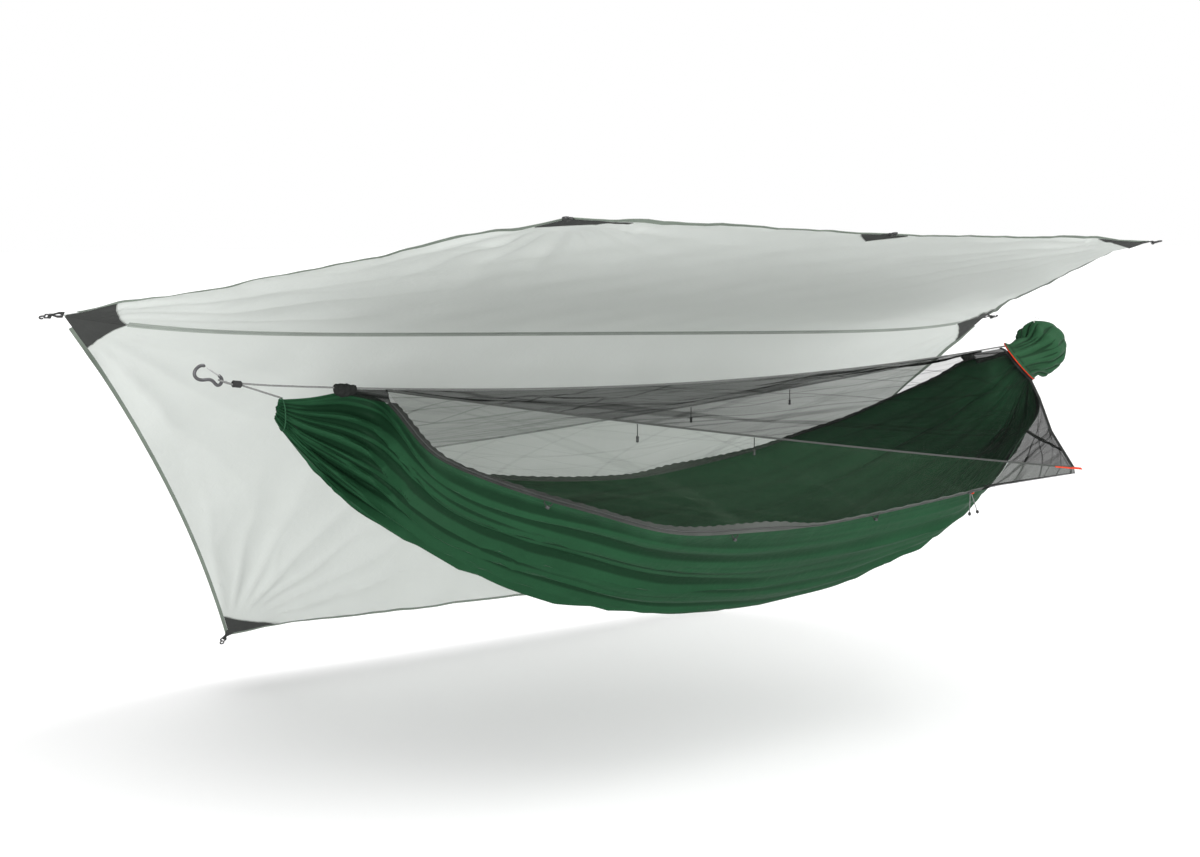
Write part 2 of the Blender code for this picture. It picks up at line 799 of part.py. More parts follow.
def hook_mesh():
    """The flat hook in (along, across): a window round the bar, then a stem and a bend."""
    inner = TONGUE_WIDE / 2 + HOOK_SIDE_CLEAR
    stem = HOOK_STEM / 2
    across = [-inner - HOOK_RAIL, -inner, -stem, stem, inner, inner + HOOK_RAIL]
    bar = HOOK_BAR / 2
    along = [-bar, bar, bar + HOOK_WINDOW, bar + HOOK_WINDOW + HOOK_RAIL]
    points = [(a, b) for a in along for b in across]
    width = len(across)
    faces = []
    for i in range(len(along) - 1):
        for k in range(width - 1):
            if i == 1 and 0 < k < width - 2:
                continue
            corner = i * width + k
            faces.append([corner, corner + 1, corner + 1 + width, corner + width])
    last = (3 * width + 2, 3 * width + 3)
    front = along[-1] + HOOK_STEM_LENGTH
    centre = -HOOK_BEND
    for step in range(HOOK_BEND_STEPS + 1):
        angle = math.radians(HOOK_BEND_DEG) * step / HOOK_BEND_STEPS
        thin = stem * (1 - HOOK_TAPER_SHARE * step / HOOK_BEND_STEPS)
        base = len(points)
        for r in (HOOK_BEND - thin, HOOK_BEND + thin):
            points.append((front + r * math.sin(angle), centre + r * math.cos(angle)))
        faces.append([last[0], base, base + 1, last[1]][::-1])
        last = (base, base + 1)
    return points, faces


def build_hook(name, frame, pivot):
    carrier = empty(name + "_pivot", pivot)
    points, faces = hook_mesh()
    turn = frame[1]
    places = [pivot + turn @ Vector((a, b, 0)) for a, b in points]
    normals = [turn @ Vector((0, 0, 1))] * len(places)
    sheet_solid(name, places, normals, faces, HOOK_THICK, carrier, hook_plastic)


def build_hem_corner(fly, label, where, carrier):
    """A corner patch and its strap tail, sewn as one piece, and the hook on it."""
    hem = edge_length("hem")
    if where == "middle":
        corner = EDGES["hem"](0.5)
        first = EDGES["hem"](0.5 - MIDDLE_PATCH_HALF / hem)
        last = EDGES["hem"](0.5 + MIDDLE_PATCH_HALF / hem)
        inside = corner - np.array((0, MIDDLE_PATCH_DEPTH))
        outwards = np.array((0.0, 1.0))
    else:
        corner = np.array(CORNERS[where])
        side = on_edge(where, -HEM_PATCH_SIDE if where == "left" else HEM_PATCH_SIDE)
        along = on_edge("hem", HEM_PATCH_ALONG if where == "left" else -HEM_PATCH_ALONG)
        first, last = (side, along) if where == "left" else (along, side)
        outwards = -unit(unit(side - corner) + unit(along - corner))
        inside = corner + ((first + last) / 2 - corner) * PATCH_BOW_SHARE
    depth = -(TARP_THICK / 2 + PATCH_GAP + PATCH_THICK / 2)
    along = fly.vector(*outwards)
    across = fly.vector(-outwards[1], outwards[0])
    if along.cross(across).dot(fly.out) < 0:
        across = -across
    place = fly.point(*corner, depth)
    frame = strap_frame(place, along, across)
    patch = [fly.point(x, s, depth) for x, s in (first, inside, last)]
    if (patch[0] - place).dot(across) > 0:
        patch.reverse()
    pivot = build_strap(f"tarp_patch_{label}_{where}", frame, carrier, patch)
    build_hook(f"hook_{label}_{where}", frame, pivot)


def build_ridge_strap(end, carrier):
    sign = -1 if end == "left" else 1
    tilt = math.radians(TARP_TILT_DEG)
    roll = math.radians(STRAP_ROLL_DEG)
    along = Vector((math.cos(tilt), 0, -math.sin(tilt))) * sign
    up = Vector((math.sin(tilt), 0, math.cos(tilt)))
    normal = up * math.cos(roll) + Vector((0, 1, 0)) * math.sin(roll)
    across = normal.cross(along)
    start = TARP_RIDGE / 2 + EYELET_PLATE_HALF + PATCH_GAP
    place = Vector(RIDGE_PLACE) + along * start
    frame = strap_frame(place, along, across)
    pivot = build_strap(f"ridge_strap_{end}", frame, carrier)
    build_hook(f"hook_ridge_{end}", frame, pivot)


def build_tarp():
    ridge = empty("ridge_frame", RIDGE_PLACE)
    front_pivot = empty("front_fly_pivot", RIDGE_PLACE)
    back_pivot = empty("back_fly_pivot", RIDGE_PLACE)
    front = Fly(FRONT_RISE_DEG, False)
    back = Fly(BACK_DROP_DEG, True)
    half = TARP_RIDGE / 2
    bead = []
    for u in spread(0.0, 1.0, TARP_COLUMNS):
        bead.append(front.point(half * (2 * u - 1), 0) + ridge_sag(u))
    add_tube("ridge_seam", bead, RIDGE_BEAD / 2, THIN_TUBE_SIDES, ridge, tape_cloth)
    for end in ("left", "right"):
        build_ridge_strap(end, ridge)
    sides = ((front, "front", front_pivot), (back, "back", back_pivot))
    for fly, label, carrier in sides:
        build_panel(fly, f"tarp_{label}_panel", carrier)
        build_binding(fly, f"tarp_{label}_binding", carrier)
        reach = RIDGE_PATCH_BACK if fly.back else RIDGE_PATCH_FRONT
        for end in ("left", "right"):
            build_ridge_patch(fly, f"ridge_patch_{end}_{label}", end, reach, carrier)
        for where in ("left", "right") if fly.back else ("left", "middle", "right"):
            build_hem_corner(fly, label, where, carrier)
    build_seam_tape(front, front_pivot)


def half_turn(place):
    return np.array((-place[0], -place[1], place[2]))


def arc_through(a, b, c):
    """Centre, axis and radius of the circle through three places."""
    a, b, c = np.array(a), np.array(b), np.array(c)
    ab, ac = b - a, c - a
    axis = unit(np.cross(ab, ac))
    across = np.cross(axis, ab)
    reach = (ac.dot(ac) - ac.dot(ab)) / (2 * ac.dot(across))
    centre = a + ab / 2 + across * reach
    return centre, axis, np.linalg.norm(a - centre)


ARC_CENTRE, ARC_AXIS, ARC_RADIUS = arc_through(ZIP_ARC_START, ZIP_ARC_MIDDLE, ZIP_ARC_END)
ARC_START_RAY = unit(np.array(ZIP_ARC_START) - ARC_CENTRE)
ARC_SIDE_RAY = np.cross(ARC_AXIS, ARC_START_RAY)
ARC_END_RAY = unit(np.array(ZIP_ARC_END) - ARC_CENTRE)
ARC_TURN = math.atan2(ARC_END_RAY.dot(ARC_SIDE_RAY), ARC_END_RAY.dot(ARC_START_RAY))


def arc_ray(share):
    angle = ARC_TURN * share
    return ARC_START_RAY * math.cos(angle) + ARC_SIDE_RAY * math.sin(angle)


def front_edge_points():
    arc = [ARC_CENTRE + ARC_RADIUS * arc_ray(s) for s in spread(0.0, 1.0, ZIP_ARC_STEPS)]
    return [np.array(p) for p in FRONT_EDGE_LEFT] + arc + [np.array(p) for p in FRONT_EDGE_RIGHT]


edge_spline = natural_spline(front_edge_points())


def share_of_knot(number):
    points = np.array(front_edge_points())
    steps = np.linalg.norm(np.diff(points, axis=0), axis=1)
    return steps[:number].sum() / steps.sum()


ARC_FIRST = share_of_knot(len(FRONT_EDGE_LEFT))
ARC_LAST = share_of_knot(len(FRONT_EDGE_LEFT) + ZIP_ARC_STEPS - 1)


def front_edge(t):
    """The cloth's front edge; on the zip's arc it lies on the circle itself."""
    place = edge_spline(t)
    if ARC_FIRST <= t <= ARC_LAST:
        ray = place - ARC_CENTRE
        ray = ray - ARC_AXIS * ray.dot(ARC_AXIS)
        place = ARC_CENTRE + unit(ray) * ARC_RADIUS
    return place


def edge_run(t):
    """The way the front edge runs."""
    step = EDGE_STEP_SHARE / CLOTH_COLUMNS
    return unit(front_edge(min(1.0, t + step)) - front_edge(max(0.0, t - step)))


def edge_share_at(x):
    """The share of the front edge that reaches x, past the fold near the head end."""
    shares = np.linspace(0, 1, EDGE_SEARCH_STEPS)
    xs = np.array([front_edge(t)[0] for t in shares])
    return shares[np.where(xs <= x)[0][-1]]


def column_shares():
    """Where the cloth's columns stand, alike seen from both ends; the arc's ends are two."""
    rounds = [math.cos(math.pi * i / CLOTH_COLUMNS) for i in range(CLOTH_COLUMNS + 1)]
    even = spread(0.0, 1.0, CLOTH_COLUMNS + 1)
    shares = [(0.5 - 0.5 * a + b) / 2 for a, b in zip(rounds, even)]
    for wanted in (ARC_FIRST, ARC_LAST):
        near = min(range(len(shares)), key=lambda i: abs(shares[i] - wanted))
        shares[near] = wanted
        shares[CLOTH_COLUMNS - near] = 1 - wanted
    return shares


COLUMN_SHARES = column_shares()


def column_at(share):
    return min(range(len(COLUMN_SHARES)), key=lambda i: abs(COLUMN_SHARES[i] - share))


def ridge_place(x):
    return np.array((x, 0.0, RIDGE_CORD_LOW + RIDGE_CORD_RISE * (x / COLLAR_AT[0]) ** 2))


def belly_line(t):
    """The lowest line of the cloth, which slants across from end to end."""
    x = SPAN_HALF * (2 * t - 1)
    u = min(1.0, abs(x) / SPAN_HALF)
    drop = (BELLY_DEPTH - END_HANG) * (1 - u**BELLY_LENGTH_POWER) ** BELLY_END_POWER
    z = -END_HANG - drop
    y = -BELLY_SIDE_SHIFT * math.sin(math.pi * x / SPAN_HALF)
    if x > NECK_START:
        z *= 1 - NECK_SHARE * smooth_step((x - NECK_START) / NECK_LENGTH)
    return np.array((x, y, z))


def cloth_place(t, k):
    """A place on the hammock cloth: t runs from end to end, k from -1 front to 1 back."""
    front = front_edge(t)
    back = half_turn(front_edge(1 - t))
    belly = belly_line(t)
    middle = (front + back) / 2
    reach = (front - back) / 2
    deep = belly - middle
    return middle - reach * k + deep * (1 - abs(k) ** BELLY_SECTION_POWER)


def pleated_place(t, k):
    """The cloth with the pleats that run out from its gathered ends."""
    small = EDGE_STEP_SHARE / CLOTH_COLUMNS
    here = cloth_place(t, k)
    if abs(k) > 1 - small:
        return here
    run = cloth_place(min(1, t + small), k) - cloth_place(max(0, t - small), k)
    side = cloth_place(t, k + small) - cloth_place(t, k - small)
    normal = unit(np.cross(run, side))
    near_end = min(t, 1 - t) / PLEAT_FADE
    depth = PLEAT_DEPTH * math.exp(-(near_end**2)) * (1 - k**4)
    return here + normal * depth * math.sin(math.tau * PLEAT_COUNT * (k + 1) / 2)


def build_cloth(carrier):
    grid = []
    for k in spread(-1.0, 1.0, CLOTH_ROWS + 1):
        grid.append([pleated_place(t, k) for t in COLUMN_SHARES])
    grid_solid("hammock_cloth", grid, CLOTH_THICK, carrier, green_cloth)


def fold_place(share):
    """The taut seam of the net, from the head end of the ridge cord to the pull-out."""
    start = ridge_place(NET_LEFT_X) - np.array((0, 0, NET_START_DROP))
    end = np.array(PULLOUT_TIP)
    sag = np.array((0, 0, -NET_SAG * 4 * share * (1 - share)))
    return start + (end - start) * share + sag


ZIP_COLUMN = column_at((share_of_knot(ZIP_START_KNOT - 1) + share_of_knot(ZIP_START_KNOT)) / 2)
HEM_COLUMN = column_at(ARC_LAST)
WING_END_COLUMN = column_at(edge_share_at(WING_END_X))
ZIP_SHARES = COLUMN_SHARES[ZIP_COLUMN : HEM_COLUMN + 1]
WING_SHARES = COLUMN_SHARES[HEM_COLUMN : WING_END_COLUMN + 1]


def tape_up(t):
    """The way the zipper tape stands up from the cloth's edge."""
    here = front_edge(t)
    along = max(0.0, (here[0] - NET_LEFT_X) / (PULLOUT_TIP[0] - NET_LEFT_X))
    run = edge_run(t)
    to_fold = fold_place(min(1.0, along + TAPE_LEAN_SHARE)) - here
    to_fold = unit(to_fold - run * to_fold.dot(run))
    to_centre = unit(ARC_CENTRE - here)
    turn = smooth_step((t - ARC_FIRST + TAPE_TURN_SHARE) / TAPE_TURN_SHARE)
    return unit(to_fold * (1 - turn) + to_centre * turn)


def bend_gap(before, after, thick):
    """The gap between two sheets' edges that keeps them clear where they meet at a bend."""
    cosine = min(1.0, max(SHARPEST_BEND_SHARE, unit(before).dot(unit(after))))
    return ZIP_TAPE_GAP + thick / 2 * math.sqrt((1 - cosine) / (1 + cosine))


def tape_start(t):
    """How far above the cloth's edge the tape begins."""
    cloth = front_edge(t) - pleated_place(t, 2 / CLOTH_ROWS - 1)
    return bend_gap(cloth, tape_up(t), CLOTH_THICK + ZIP_TAPE_THICK)


def build_zip_tape(name, turn, carrier):
    grid = []
    for width in (0, ZIP_TAPE_WIDTH):
        row = [front_edge(t) + tape_up(t) * (tape_start(t) + width) for t in ZIP_SHARES]
        grid.append([turn(p) for p in row])
    grid_solid(name, grid, ZIP_TAPE_THICK, carrier, zip_tape)


def net_columns():
    """Each column's share of the net's width, with its place on the net's lower edge."""
    first, last = ZIP_SHARES[0], ZIP_SHARES[-1]
    columns = []
    for t in ZIP_SHARES:
        share = NET_HEM_SHARE * (t - first) / (last - first)
        top = front_edge(t) + tape_up(t) * (tape_start(t) + ZIP_TAPE_WIDTH)
        bend = bend_gap(tape_up(t), fold_place(share) - top, ZIP_TAPE_THICK + NET_THICK)
        columns.append((share, top + tape_up(t) * bend))
    start = columns[-1][1]
    end = np.array(PULLOUT_TIP) - np.array((0, 0, HEM_TIP_DROP))
    for far in spread(0.0, 1.0, NET_HEM_COLUMNS)[1:]:
        share = NET_HEM_SHARE + (1 - NET_HEM_SHARE) * far
        columns.append((share, start + (end - start) * far))
    return columns


def wing_edge(share):
    """The net's free edge from the pull-out up to the cloth's edge by the sack."""
    start = np.array(PULLOUT_TIP)
    end = front_edge(COLUMN_SHARES[WING_END_COLUMN]) + np.array(WING_END_OFFSET)
    bow = 4 * share * (1 - share) * WING_CURVE
    return start + (end - start) * share + np.array((-bow, bow / 2, 0))


def net_end(number):
    """The net's sack end: from the ridge, round the front of the mouth, to the pull-out."""
    if number == 0:
        return net_top(1.0)
    if number > len(NET_MOUTH_DEG):
        return wing_edge(1 - (number - len(NET_MOUTH_DEG) - 1) / NET_WING_BAND_COUNT)
    angle = math.radians(NET_MOUTH_DEG[number - 1])
    up, front = np.array(SACK_MOUTH_UP), np.array(SACK_MOUTH_FRONT)
    away = unit(np.cross(up, front)) * NET_MOUTH_CLEAR
    clear = 1 + (TRIM_CORD + NET_THICK) / np.linalg.norm(front)
    return np.array(SACK_MOUTH) + (up * math.sin(angle) + front * math.cos(angle)) * clear - away


def net_top(share):
    x = NET_LEFT_X + (NET_RIGHT_X - NET_LEFT_X) * share
    return ridge_place(x) + np.array((0, -NET_CORD_SIDE, -NET_CORD_DROP))


def build_net(name, turn, carrier):
    columns = net_columns()
    bands = 1 + len(NET_MOUTH_DEG) + NET_WING_BAND_COUNT
    grid = []
    for number in range(bands):
        band = number / bands
        bow = net_end(number) - net_top(1.0) * (1 - band) - fold_place(1.0) * band
        row = []
        for share, _ in columns:
            place = net_top(share) * (1 - band) + fold_place(share) * band
            row.append(place + bow * share**NET_END_POWER)
        grid.append(row)
    for band in spread(0.0, 1.0, NET_LOW_BAND_COUNT):
        grid.append([fold_place(share) * (1 - band) + low * band for share, low in columns])
    grid = [[turn(p) for p in row] for row in grid]
    grid_solid(name, grid, NET_THICK, carrier, net_cloth)


def build_wing(name, turn, carrier):
    """The underside of the net's wing, between the cloth's edge and the pull-out."""
    down = np.array((0, 0, -WING_GAP))
    hem = [place for _, place in net_columns()[len(ZIP_SHARES) :]]
    free = len(WING_SHARES) - len(hem)
    outer = hem + [wing_edge(WING_TOP_SHARE * (i + 1) / free) for i in range(free)]
    inner = []
    for t, far in zip(WING_SHARES, outer):
        edge = front_edge(t)
        inner.append(edge + unit(far - edge) * (CLOTH_THICK + ZIP_TAPE_GAP))
    grid = []
    for band in spread(0.0, 1.0, WING_BAND_COUNT + 1):
        grid.append([turn(a * (1 - band) + (b + down) * band) for a, b in zip(inner, outer)])
    grid_solid(name, grid, NET_THICK, carrier, net_cloth)


def build_slider(label, turn, carrier_name):
    """The slider on the outer face of the tape, and its pull cord, at the closed end."""
    ray = arc_ray(SLIDER_AT_SHARE)
    tangent = np.cross(ARC_AXIS, ray) * math.copysign(1, ARC_TURN)
    face = ARC_AXIS if ARC_AXIS[1] < 0 else -ARC_AXIS
    inset = CLOTH_THICK + ZIP_TAPE_WIDTH / 2
    middle = ARC_CENTRE + ray * (ARC_RADIUS - inset)
    low = ZIP_TAPE_THICK / 2 + SLIDER_GAP
    centre = middle + face * (low + SLIDER_THICK / 2)
    carrier = empty(carrier_name, turn(ARC_CENTRE))
    long, wide = SLIDER_LENGTH / 2, SLIDER_WIDTH / 2
    cut_long, cut_wide = long * SLIDER_CORNER_SHARE, wide * SLIDER_CORNER_SHARE
    outline = [(-long, -cut_wide), (-cut_long, -wide), (cut_long, -wide), (long, -cut_wide)]
    outline += [(-a, -b) for a, b in outline]
    points = [turn(centre + tangent * a + ray * b) for a, b in outline]
    normal = turn(centre + face) - turn(centre)
    normals = [normal] * len(points)
    faces = [list(range(len(outline)))]
    name = f"zip_slider_{label}"
    sheet_solid(name, points, normals, faces, SLIDER_THICK, carrier, hook_plastic)
    top = centre + ray * wide - np.array((0, 0, PULL_DROP))
    knot = PULL_LENGTH - PULL_KNOT_LENGTH
    profile = [(0, PULL_CORD / 2), (knot, PULL_CORD / 2)]
    for share in KNOT_SHARES:
        profile.append((knot + PULL_KNOT_LENGTH * share, PULL_KNOT / 2))
    profile.append((PULL_LENGTH, PULL_CORD / 2))
    turned(f"zip_pull_{label}", profile, turn(top), TUBE_SIDES, carrier, grey_cord)


def build_tie_loop(name, x, carrier):
    """A cord loop under the zipped edge, which holds the net when it is rolled up."""
    t = edge_share_at(x)
    edge = front_edge(t)
    run = edge_run(t)
    out = unit(run * run[1] - SIDEWAYS)
    down = unit(np.cross(run, out))
    down *= -1 if down[2] > 0 else 1
    start = edge + out * ((CLOTH_THICK + TIE_LOOP_CORD) / 2 + TIE_LOOP_GAP)
    path = []
    for angle in spread(0.0, math.pi, HALF_LOOP_STEPS):
        turn = down * math.sin(angle) - run * math.cos(angle)
        path.append(start + turn * TIE_LOOP_RADIUS)
    add_cord(name, path, TIE_LOOP_CORD, carrier, grey_cord)


def build_toggle(name, wanted, turn):
    """A toggle hung from the fold, at the net's column nearest to the wanted share."""
    share = min((share for share, _ in net_columns()), key=lambda share: abs(share - wanted))
    top = fold_place(share)
    top = top + np.array((0, TOGGLE_INSET, -TOGGLE_DROP))
    carrier = empty(name + "_pivot", turn(top))
    barrel = TOGGLE_LENGTH - TOGGLE_BARREL_LENGTH
    profile = [
        (0, TOGGLE_CORD / 2),
        (barrel, TOGGLE_CORD / 2),
        (barrel + TOGGLE_CORD / 2, TOGGLE_BARREL / 2),
        (TOGGLE_LENGTH - TOGGLE_CORD / 2, TOGGLE_BARREL / 2),
        (TOGGLE_LENGTH, TOGGLE_CORD / 2),
    ]
    turned(name, profile, turn(top), TUBE_SIDES, carrier, hook_plastic)


def build_pullout(name, turn, carrier):
    tip = np.array(PULLOUT_TIP)
    along = unit(fold_place(1.0) - fold_place(PULLOUT_SEAM_SHARE))
    out = unit(np.cross(along, net_top(PULLOUT_SEAM_SHARE) - tip))
    out *= -1 if out[2] < 0 else 1
    across = np.cross(out, along)
    base = tip + out * ((NET_THICK + PULLOUT_THICK) / 2 + PULLOUT_GAP)
    grid = []
    for side in (-1, 1):
        row = []
        for far in (PULLOUT_OVERRUN - PULLOUT_LENGTH, 0.0, PULLOUT_OVERRUN):
            row.append(turn(base + along * far + across * side * PULLOUT_WIDTH / 2))
        grid.append(row)
    grid_solid(name, grid, PULLOUT_THICK, carrier, red_web, smooth=False)


def carabiner_frame(place, lean_deg, flat):
    """Axes of a carabiner: along, across and sideways; flat lays it on its side."""
    lean = math.radians(lean_deg)
    along = np.array((-math.cos(lean), 0, math.sin(lean)))
    up = np.array((math.sin(lean), 0, math.cos(lean)))
    side = np.array((0.0, 1.0, 0.0))
    if flat:
        up, side = side, -up
    return np.array(place), along, up, side


def carabiner_place(frame, along, across, side=0.0):
    place, a, b, c = frame
    return place + a * along + b * across + c * side


def build_carabiner(label, frame, carrier):
    """The rod frame with a cross hole for the wire gate, and the gate on its own pivot."""
    line = natural_spline([(a, b, 0) for a, b in CARABINER_LINE])
    path = []
    for share in spread(0.0, 1.0, CARABINER_STEPS):
        a, b, _ = line(share)
        path.append(carabiner_place(frame, a, b))
    body = add_tube(f"carabiner_{label}", path, CARABINER_ROD / 2, TUBE_SIDES, carrier, grey_metal)
    first = np.array(CARABINER_LINE[0])
    inwards = unit(np.array(CARABINER_LINE[1]) - first)
    pivot = first + inwards * CARABINER_ROD / 2
    reach = CARABINER_ROD / 2 + OVERRUN
    ends = [carabiner_place(frame, *pivot, side) for side in (-reach, reach)]
    hole = GATE_WIRE / 2 + GATE_PIN_GAP
    cutter = add_tube(f"gate_hole_{label}", ends, hole, COLLAR_SIDES, carrier, grey_metal)
    cutter.hide_render = True
    cutter.display_type = "WIRE"
    cut = body.modifiers.new("gate_hole", "BOOLEAN")
    cut.operation = "DIFFERENCE"
    cut.object = cutter
    nose = np.array(CARABINER_LINE[-1])
    run = nose - pivot
    length = np.linalg.norm(run) - CARABINER_ROD / 2 - GATE_WIRE / 2 - GATE_END_GAP
    run = unit(run)
    half = CARABINER_ROD / 2 + GATE_GAP + GATE_WIRE / 2
    deep = CARABINER_ROD / 2 - GATE_PIN_DEPTH
    inner = [(0, deep), (0, half - GATE_BEND / 2), (GATE_BEND, half)]
    route = inner + [(length - half / 2, half), (length, half / 2)]
    route = route + [(a, -b) for a, b in reversed(route)]
    gate_pivot = empty(f"gate_pivot_{label}", carabiner_place(frame, *pivot))
    wire = [carabiner_place(frame, *(pivot + run * a), b) for a, b in route]
    add_tube(f"carabiner_gate_{label}", wire, GATE_WIRE / 2, THIN_TUBE_SIDES, gate_pivot, bright_wire)


def build_collar(name, place, along, carrier):
    """A short sleeve over the cords."""
    ends = [place - along * COLLAR_LENGTH / 2, place + along * COLLAR_LENGTH / 2]
    outer = tube_rings(ends, COLLAR_RADIUS, COLLAR_SIDES, False)
    inner = tube_rings(ends, COLLAR_RADIUS - COLLAR_WALL, COLLAR_SIDES, False)
    add_rings(name, outer + inner[::-1], carrier, dark_cloth)


def loop_route(bar, towards, radius, spread_way):
    """A cord route round a bar: in on one side, round it, out on the other."""
    side = unit(spread_way)
    back = unit(bar - towards)
    route = [towards - spread_way]
    for angle in spread(-math.pi / 2, math.pi / 2, LOOP_STEPS):
        route.append(bar + (back * math.cos(angle) + side * math.sin(angle)) * radius)
    return route + [towards + spread_way]


def smooth_route(points, count):
    line = natural_spline(points)
    return [line(t) for t in spread(0.0, 1.0, count)]


def collar_frame():
    """Middle of the left collar, its way to the hammock and its way down."""
    collar = np.array(COLLAR_AT)
    along = unit(np.array(COLLAR_TOWARDS) - collar)
    return collar, along, np.cross(SIDEWAYS, along)


def build_left_cords(frame, carrier):
    collar, along, down = collar_frame()
    build_collar("cord_collar_left", collar, along, carrier)
    bar = carabiner_place(frame, *LOOP_AT)
    radius = CARABINER_ROD / 2 + LOOP_GAP + CORD / 2
    low = collar + down * STRAND_LOW
    spacing = SIDEWAYS * STRAND_SIDE
    loop = loop_route(bar, low - along * COLLAR_LENGTH * LOOP_END_SHARE, radius, spacing)
    cinch_top = CINCH_LEFT_Z + CINCH_LEFT_HALF_Z + (CINCH_CORD + CORD) / 2
    cinch = np.array((-CINCH_X, 0, cinch_top))
    leave = low + spacing + along * COLLAR_LENGTH * LEAVE_SHARE
    drop = unit(cinch - leave) * CORD
    route = smooth_route(loop + [leave, leave + drop, cinch - drop], CORD_STEPS)
    add_cord("suspension_cord_left", route, CORD, carrier, grey_cord)


def build_ridge_cord(carrier):
    """The cord that keeps the hammock's sag and carries the net."""
    collar, along, down = collar_frame()
    high = collar - down * STRAND_HIGH
    start = high - along * COLLAR_LENGTH * RIDGE_CORD_INSIDE_SHARE
    leave = high + along * COLLAR_LENGTH * LEAVE_HIGH_SHARE
    middle = [ridge_place(x) for x in spread(*RIDGE_CORD_X, RIDGE_CORD_KNOTS)]
    tail = [np.array(STOWED_AT) + np.array(p) for p in RIDGE_CORD_TAIL]
    route = smooth_route([start, leave] + middle + tail, RIDGE_CORD_STEPS)
    add_cord("structural_ridge_cord", route, CORD, carrier, grey_cord)


def build_right_cords(frame, carrier):
    """The stowed end: the same cord, folded up inside the sack."""
    collar = np.array(STOWED_AT) + np.array(STOWED_COLLAR_OFFSET)
    along = unit(np.array(STOWED_COLLAR_OFFSET))
    build_collar("cord_collar_right", collar, along, carrier)
    bar = carabiner_place(frame, *STOWED_LOOP_AT)
    radius = CARABINER_ROD / 2 + LOOP_GAP + CORD / 2
    spacing = np.cross(SIDEWAYS, along) * STRAND_SIDE
    loop = loop_route(bar, collar - along * COLLAR_LENGTH * LOOP_END_SHARE, radius, spacing)
    cinch_top = CINCH_RIGHT_Z + CINCH_RIGHT_HALF_Z + (CINCH_CORD + CORD) / 2
    cinch = np.array((CINCH_X, 0, cinch_top))
    leave = collar + spacing + along * COLLAR_LENGTH * LEAVE_SHARE
    route = loop + [leave, leave + np.array(STOWED_TURN), cinch + np.array(STOWED_END)]
    route = smooth_route(route + [cinch + np.array((0, 0, CORD_GAP))], CORD_STEPS)
    add_cord("suspension_cord_right", route, CORD, carrier, grey_cord)


def build_cinch(name, x, middle, half_z, carrier):
    """The cord drawn round a gathered end of the cloth."""
    path = []
    for k in range(CINCH_STEPS):
        a = math.tau * k / CINCH_STEPS
        path.append((x, CINCH_HALF_Y * math.cos(a), middle + half_z * math.sin(a)))
    add_tube(name, path, CINCH_CORD / 2, TUBE_SIDES, carrier, green_cloth, closed=True)


def sack_ring(share, high, wide):
    """One ring of the sack, slanted at the mouth and square to its axis further on."""
    mouth, end = np.array(SACK_MOUTH), np.array(SACK_END)
    axis = unit(end - mouth)
    up = np.array((-axis[2], 0, axis[0])) * SACK_HEIGHT / 2
    front = np.array((0.0, -SACK_WIDTH / 2, 0.0))
    square = smooth_step(share / SACK_SQUARE_SHARE)
    up = np.array(SACK_MOUTH_UP) * (1 - square) + up * square
    front = np.array(SACK_MOUTH_FRONT) * (1 - square) + front * square
    centre = mouth + (end - mouth) * share
    ring = []
    for k in range(SACK_SEGMENTS):
        a = math.tau * k / SACK_SEGMENTS
        ring.append(centre + up * high * math.sin(a) + front * wide * math.cos(a))
    return ring


def build_net_bundle(carrier):
    """The gathered end of the net, wrapped round the ridge cord."""
    sides = BUNDLE_SIDES
    bore = CORD / 2 + CORD_GAP
    angles = [math.tau * k / sides for k in range(sides)]
    rings = []
    for along, wide in BUNDLE_SHARES:
        middle = ridge_place(BUNDLE_X[0] + (BUNDLE_X[1] - BUNDLE_X[0]) * along)
        reach = bore + BUNDLE_SIZE * wide
        ring = []
        for a in angles:
            drop = BUNDLE_SIZE * wide * BUNDLE_DROP_SHARE * (1 - math.sin(a)) / 2
            ring.append(middle + np.array((0, reach * math.cos(a), reach * math.sin(a) - drop)))
        rings.append(ring)
    for along, _ in reversed(BUNDLE_SHARES):
        middle = ridge_place(BUNDLE_X[0] + (BUNDLE_X[1] - BUNDLE_X[0]) * along)
        rings.append([middle + bore * np.array((0, math.cos(a), math.sin(a))) for a in angles])
    add_rings("net_bundle", rings, carrier, dark_cloth)


def build_sack(carrier):
    grid = [sack_ring(*ring) for ring in SACK_RING_SHARES]
    grid_solid("stuff_sack", grid, SACK_WALL, carrier, green_cloth, wrap=True)
    axis = unit(np.array(SACK_END) - np.array(SACK_MOUTH))
    back = -axis * (TRIM_CORD / 2 + TRIM_GAP + SACK_WALL / 2)
    rim = [p + back for p in sack_ring(0.0, 1.0, 1.0)]
    add_tube("sack_mouth_trim", rim, TRIM_CORD / 2, THIN_TUBE_SIDES, carrier, red_web, closed=True)
    before, after = [sack_ring(*SACK_RING_SHARES[i])[SACK_SEGMENTS // 4] for i in LOOP_RINGS]
    along = unit(after - before)
    lift = np.cross(along, SIDEWAYS) * math.copysign(1, np.cross(along, SIDEWAYS)[2])
    top = before + (after - before) * LOOP_AT_SHARE + lift * (SACK_WALL / 2 + HANG_GAP)
    path = []
    for angle in spread(0.0, math.pi, HALF_LOOP_STEPS):
        path.append(top + (along * math.cos(angle) + lift * math.sin(angle)) * LOOP_HALF)
    add_cord("sack_cord_loop", path, LOOP_CORD, carrier, white_cord)


def same(place):
    return np.array(place)


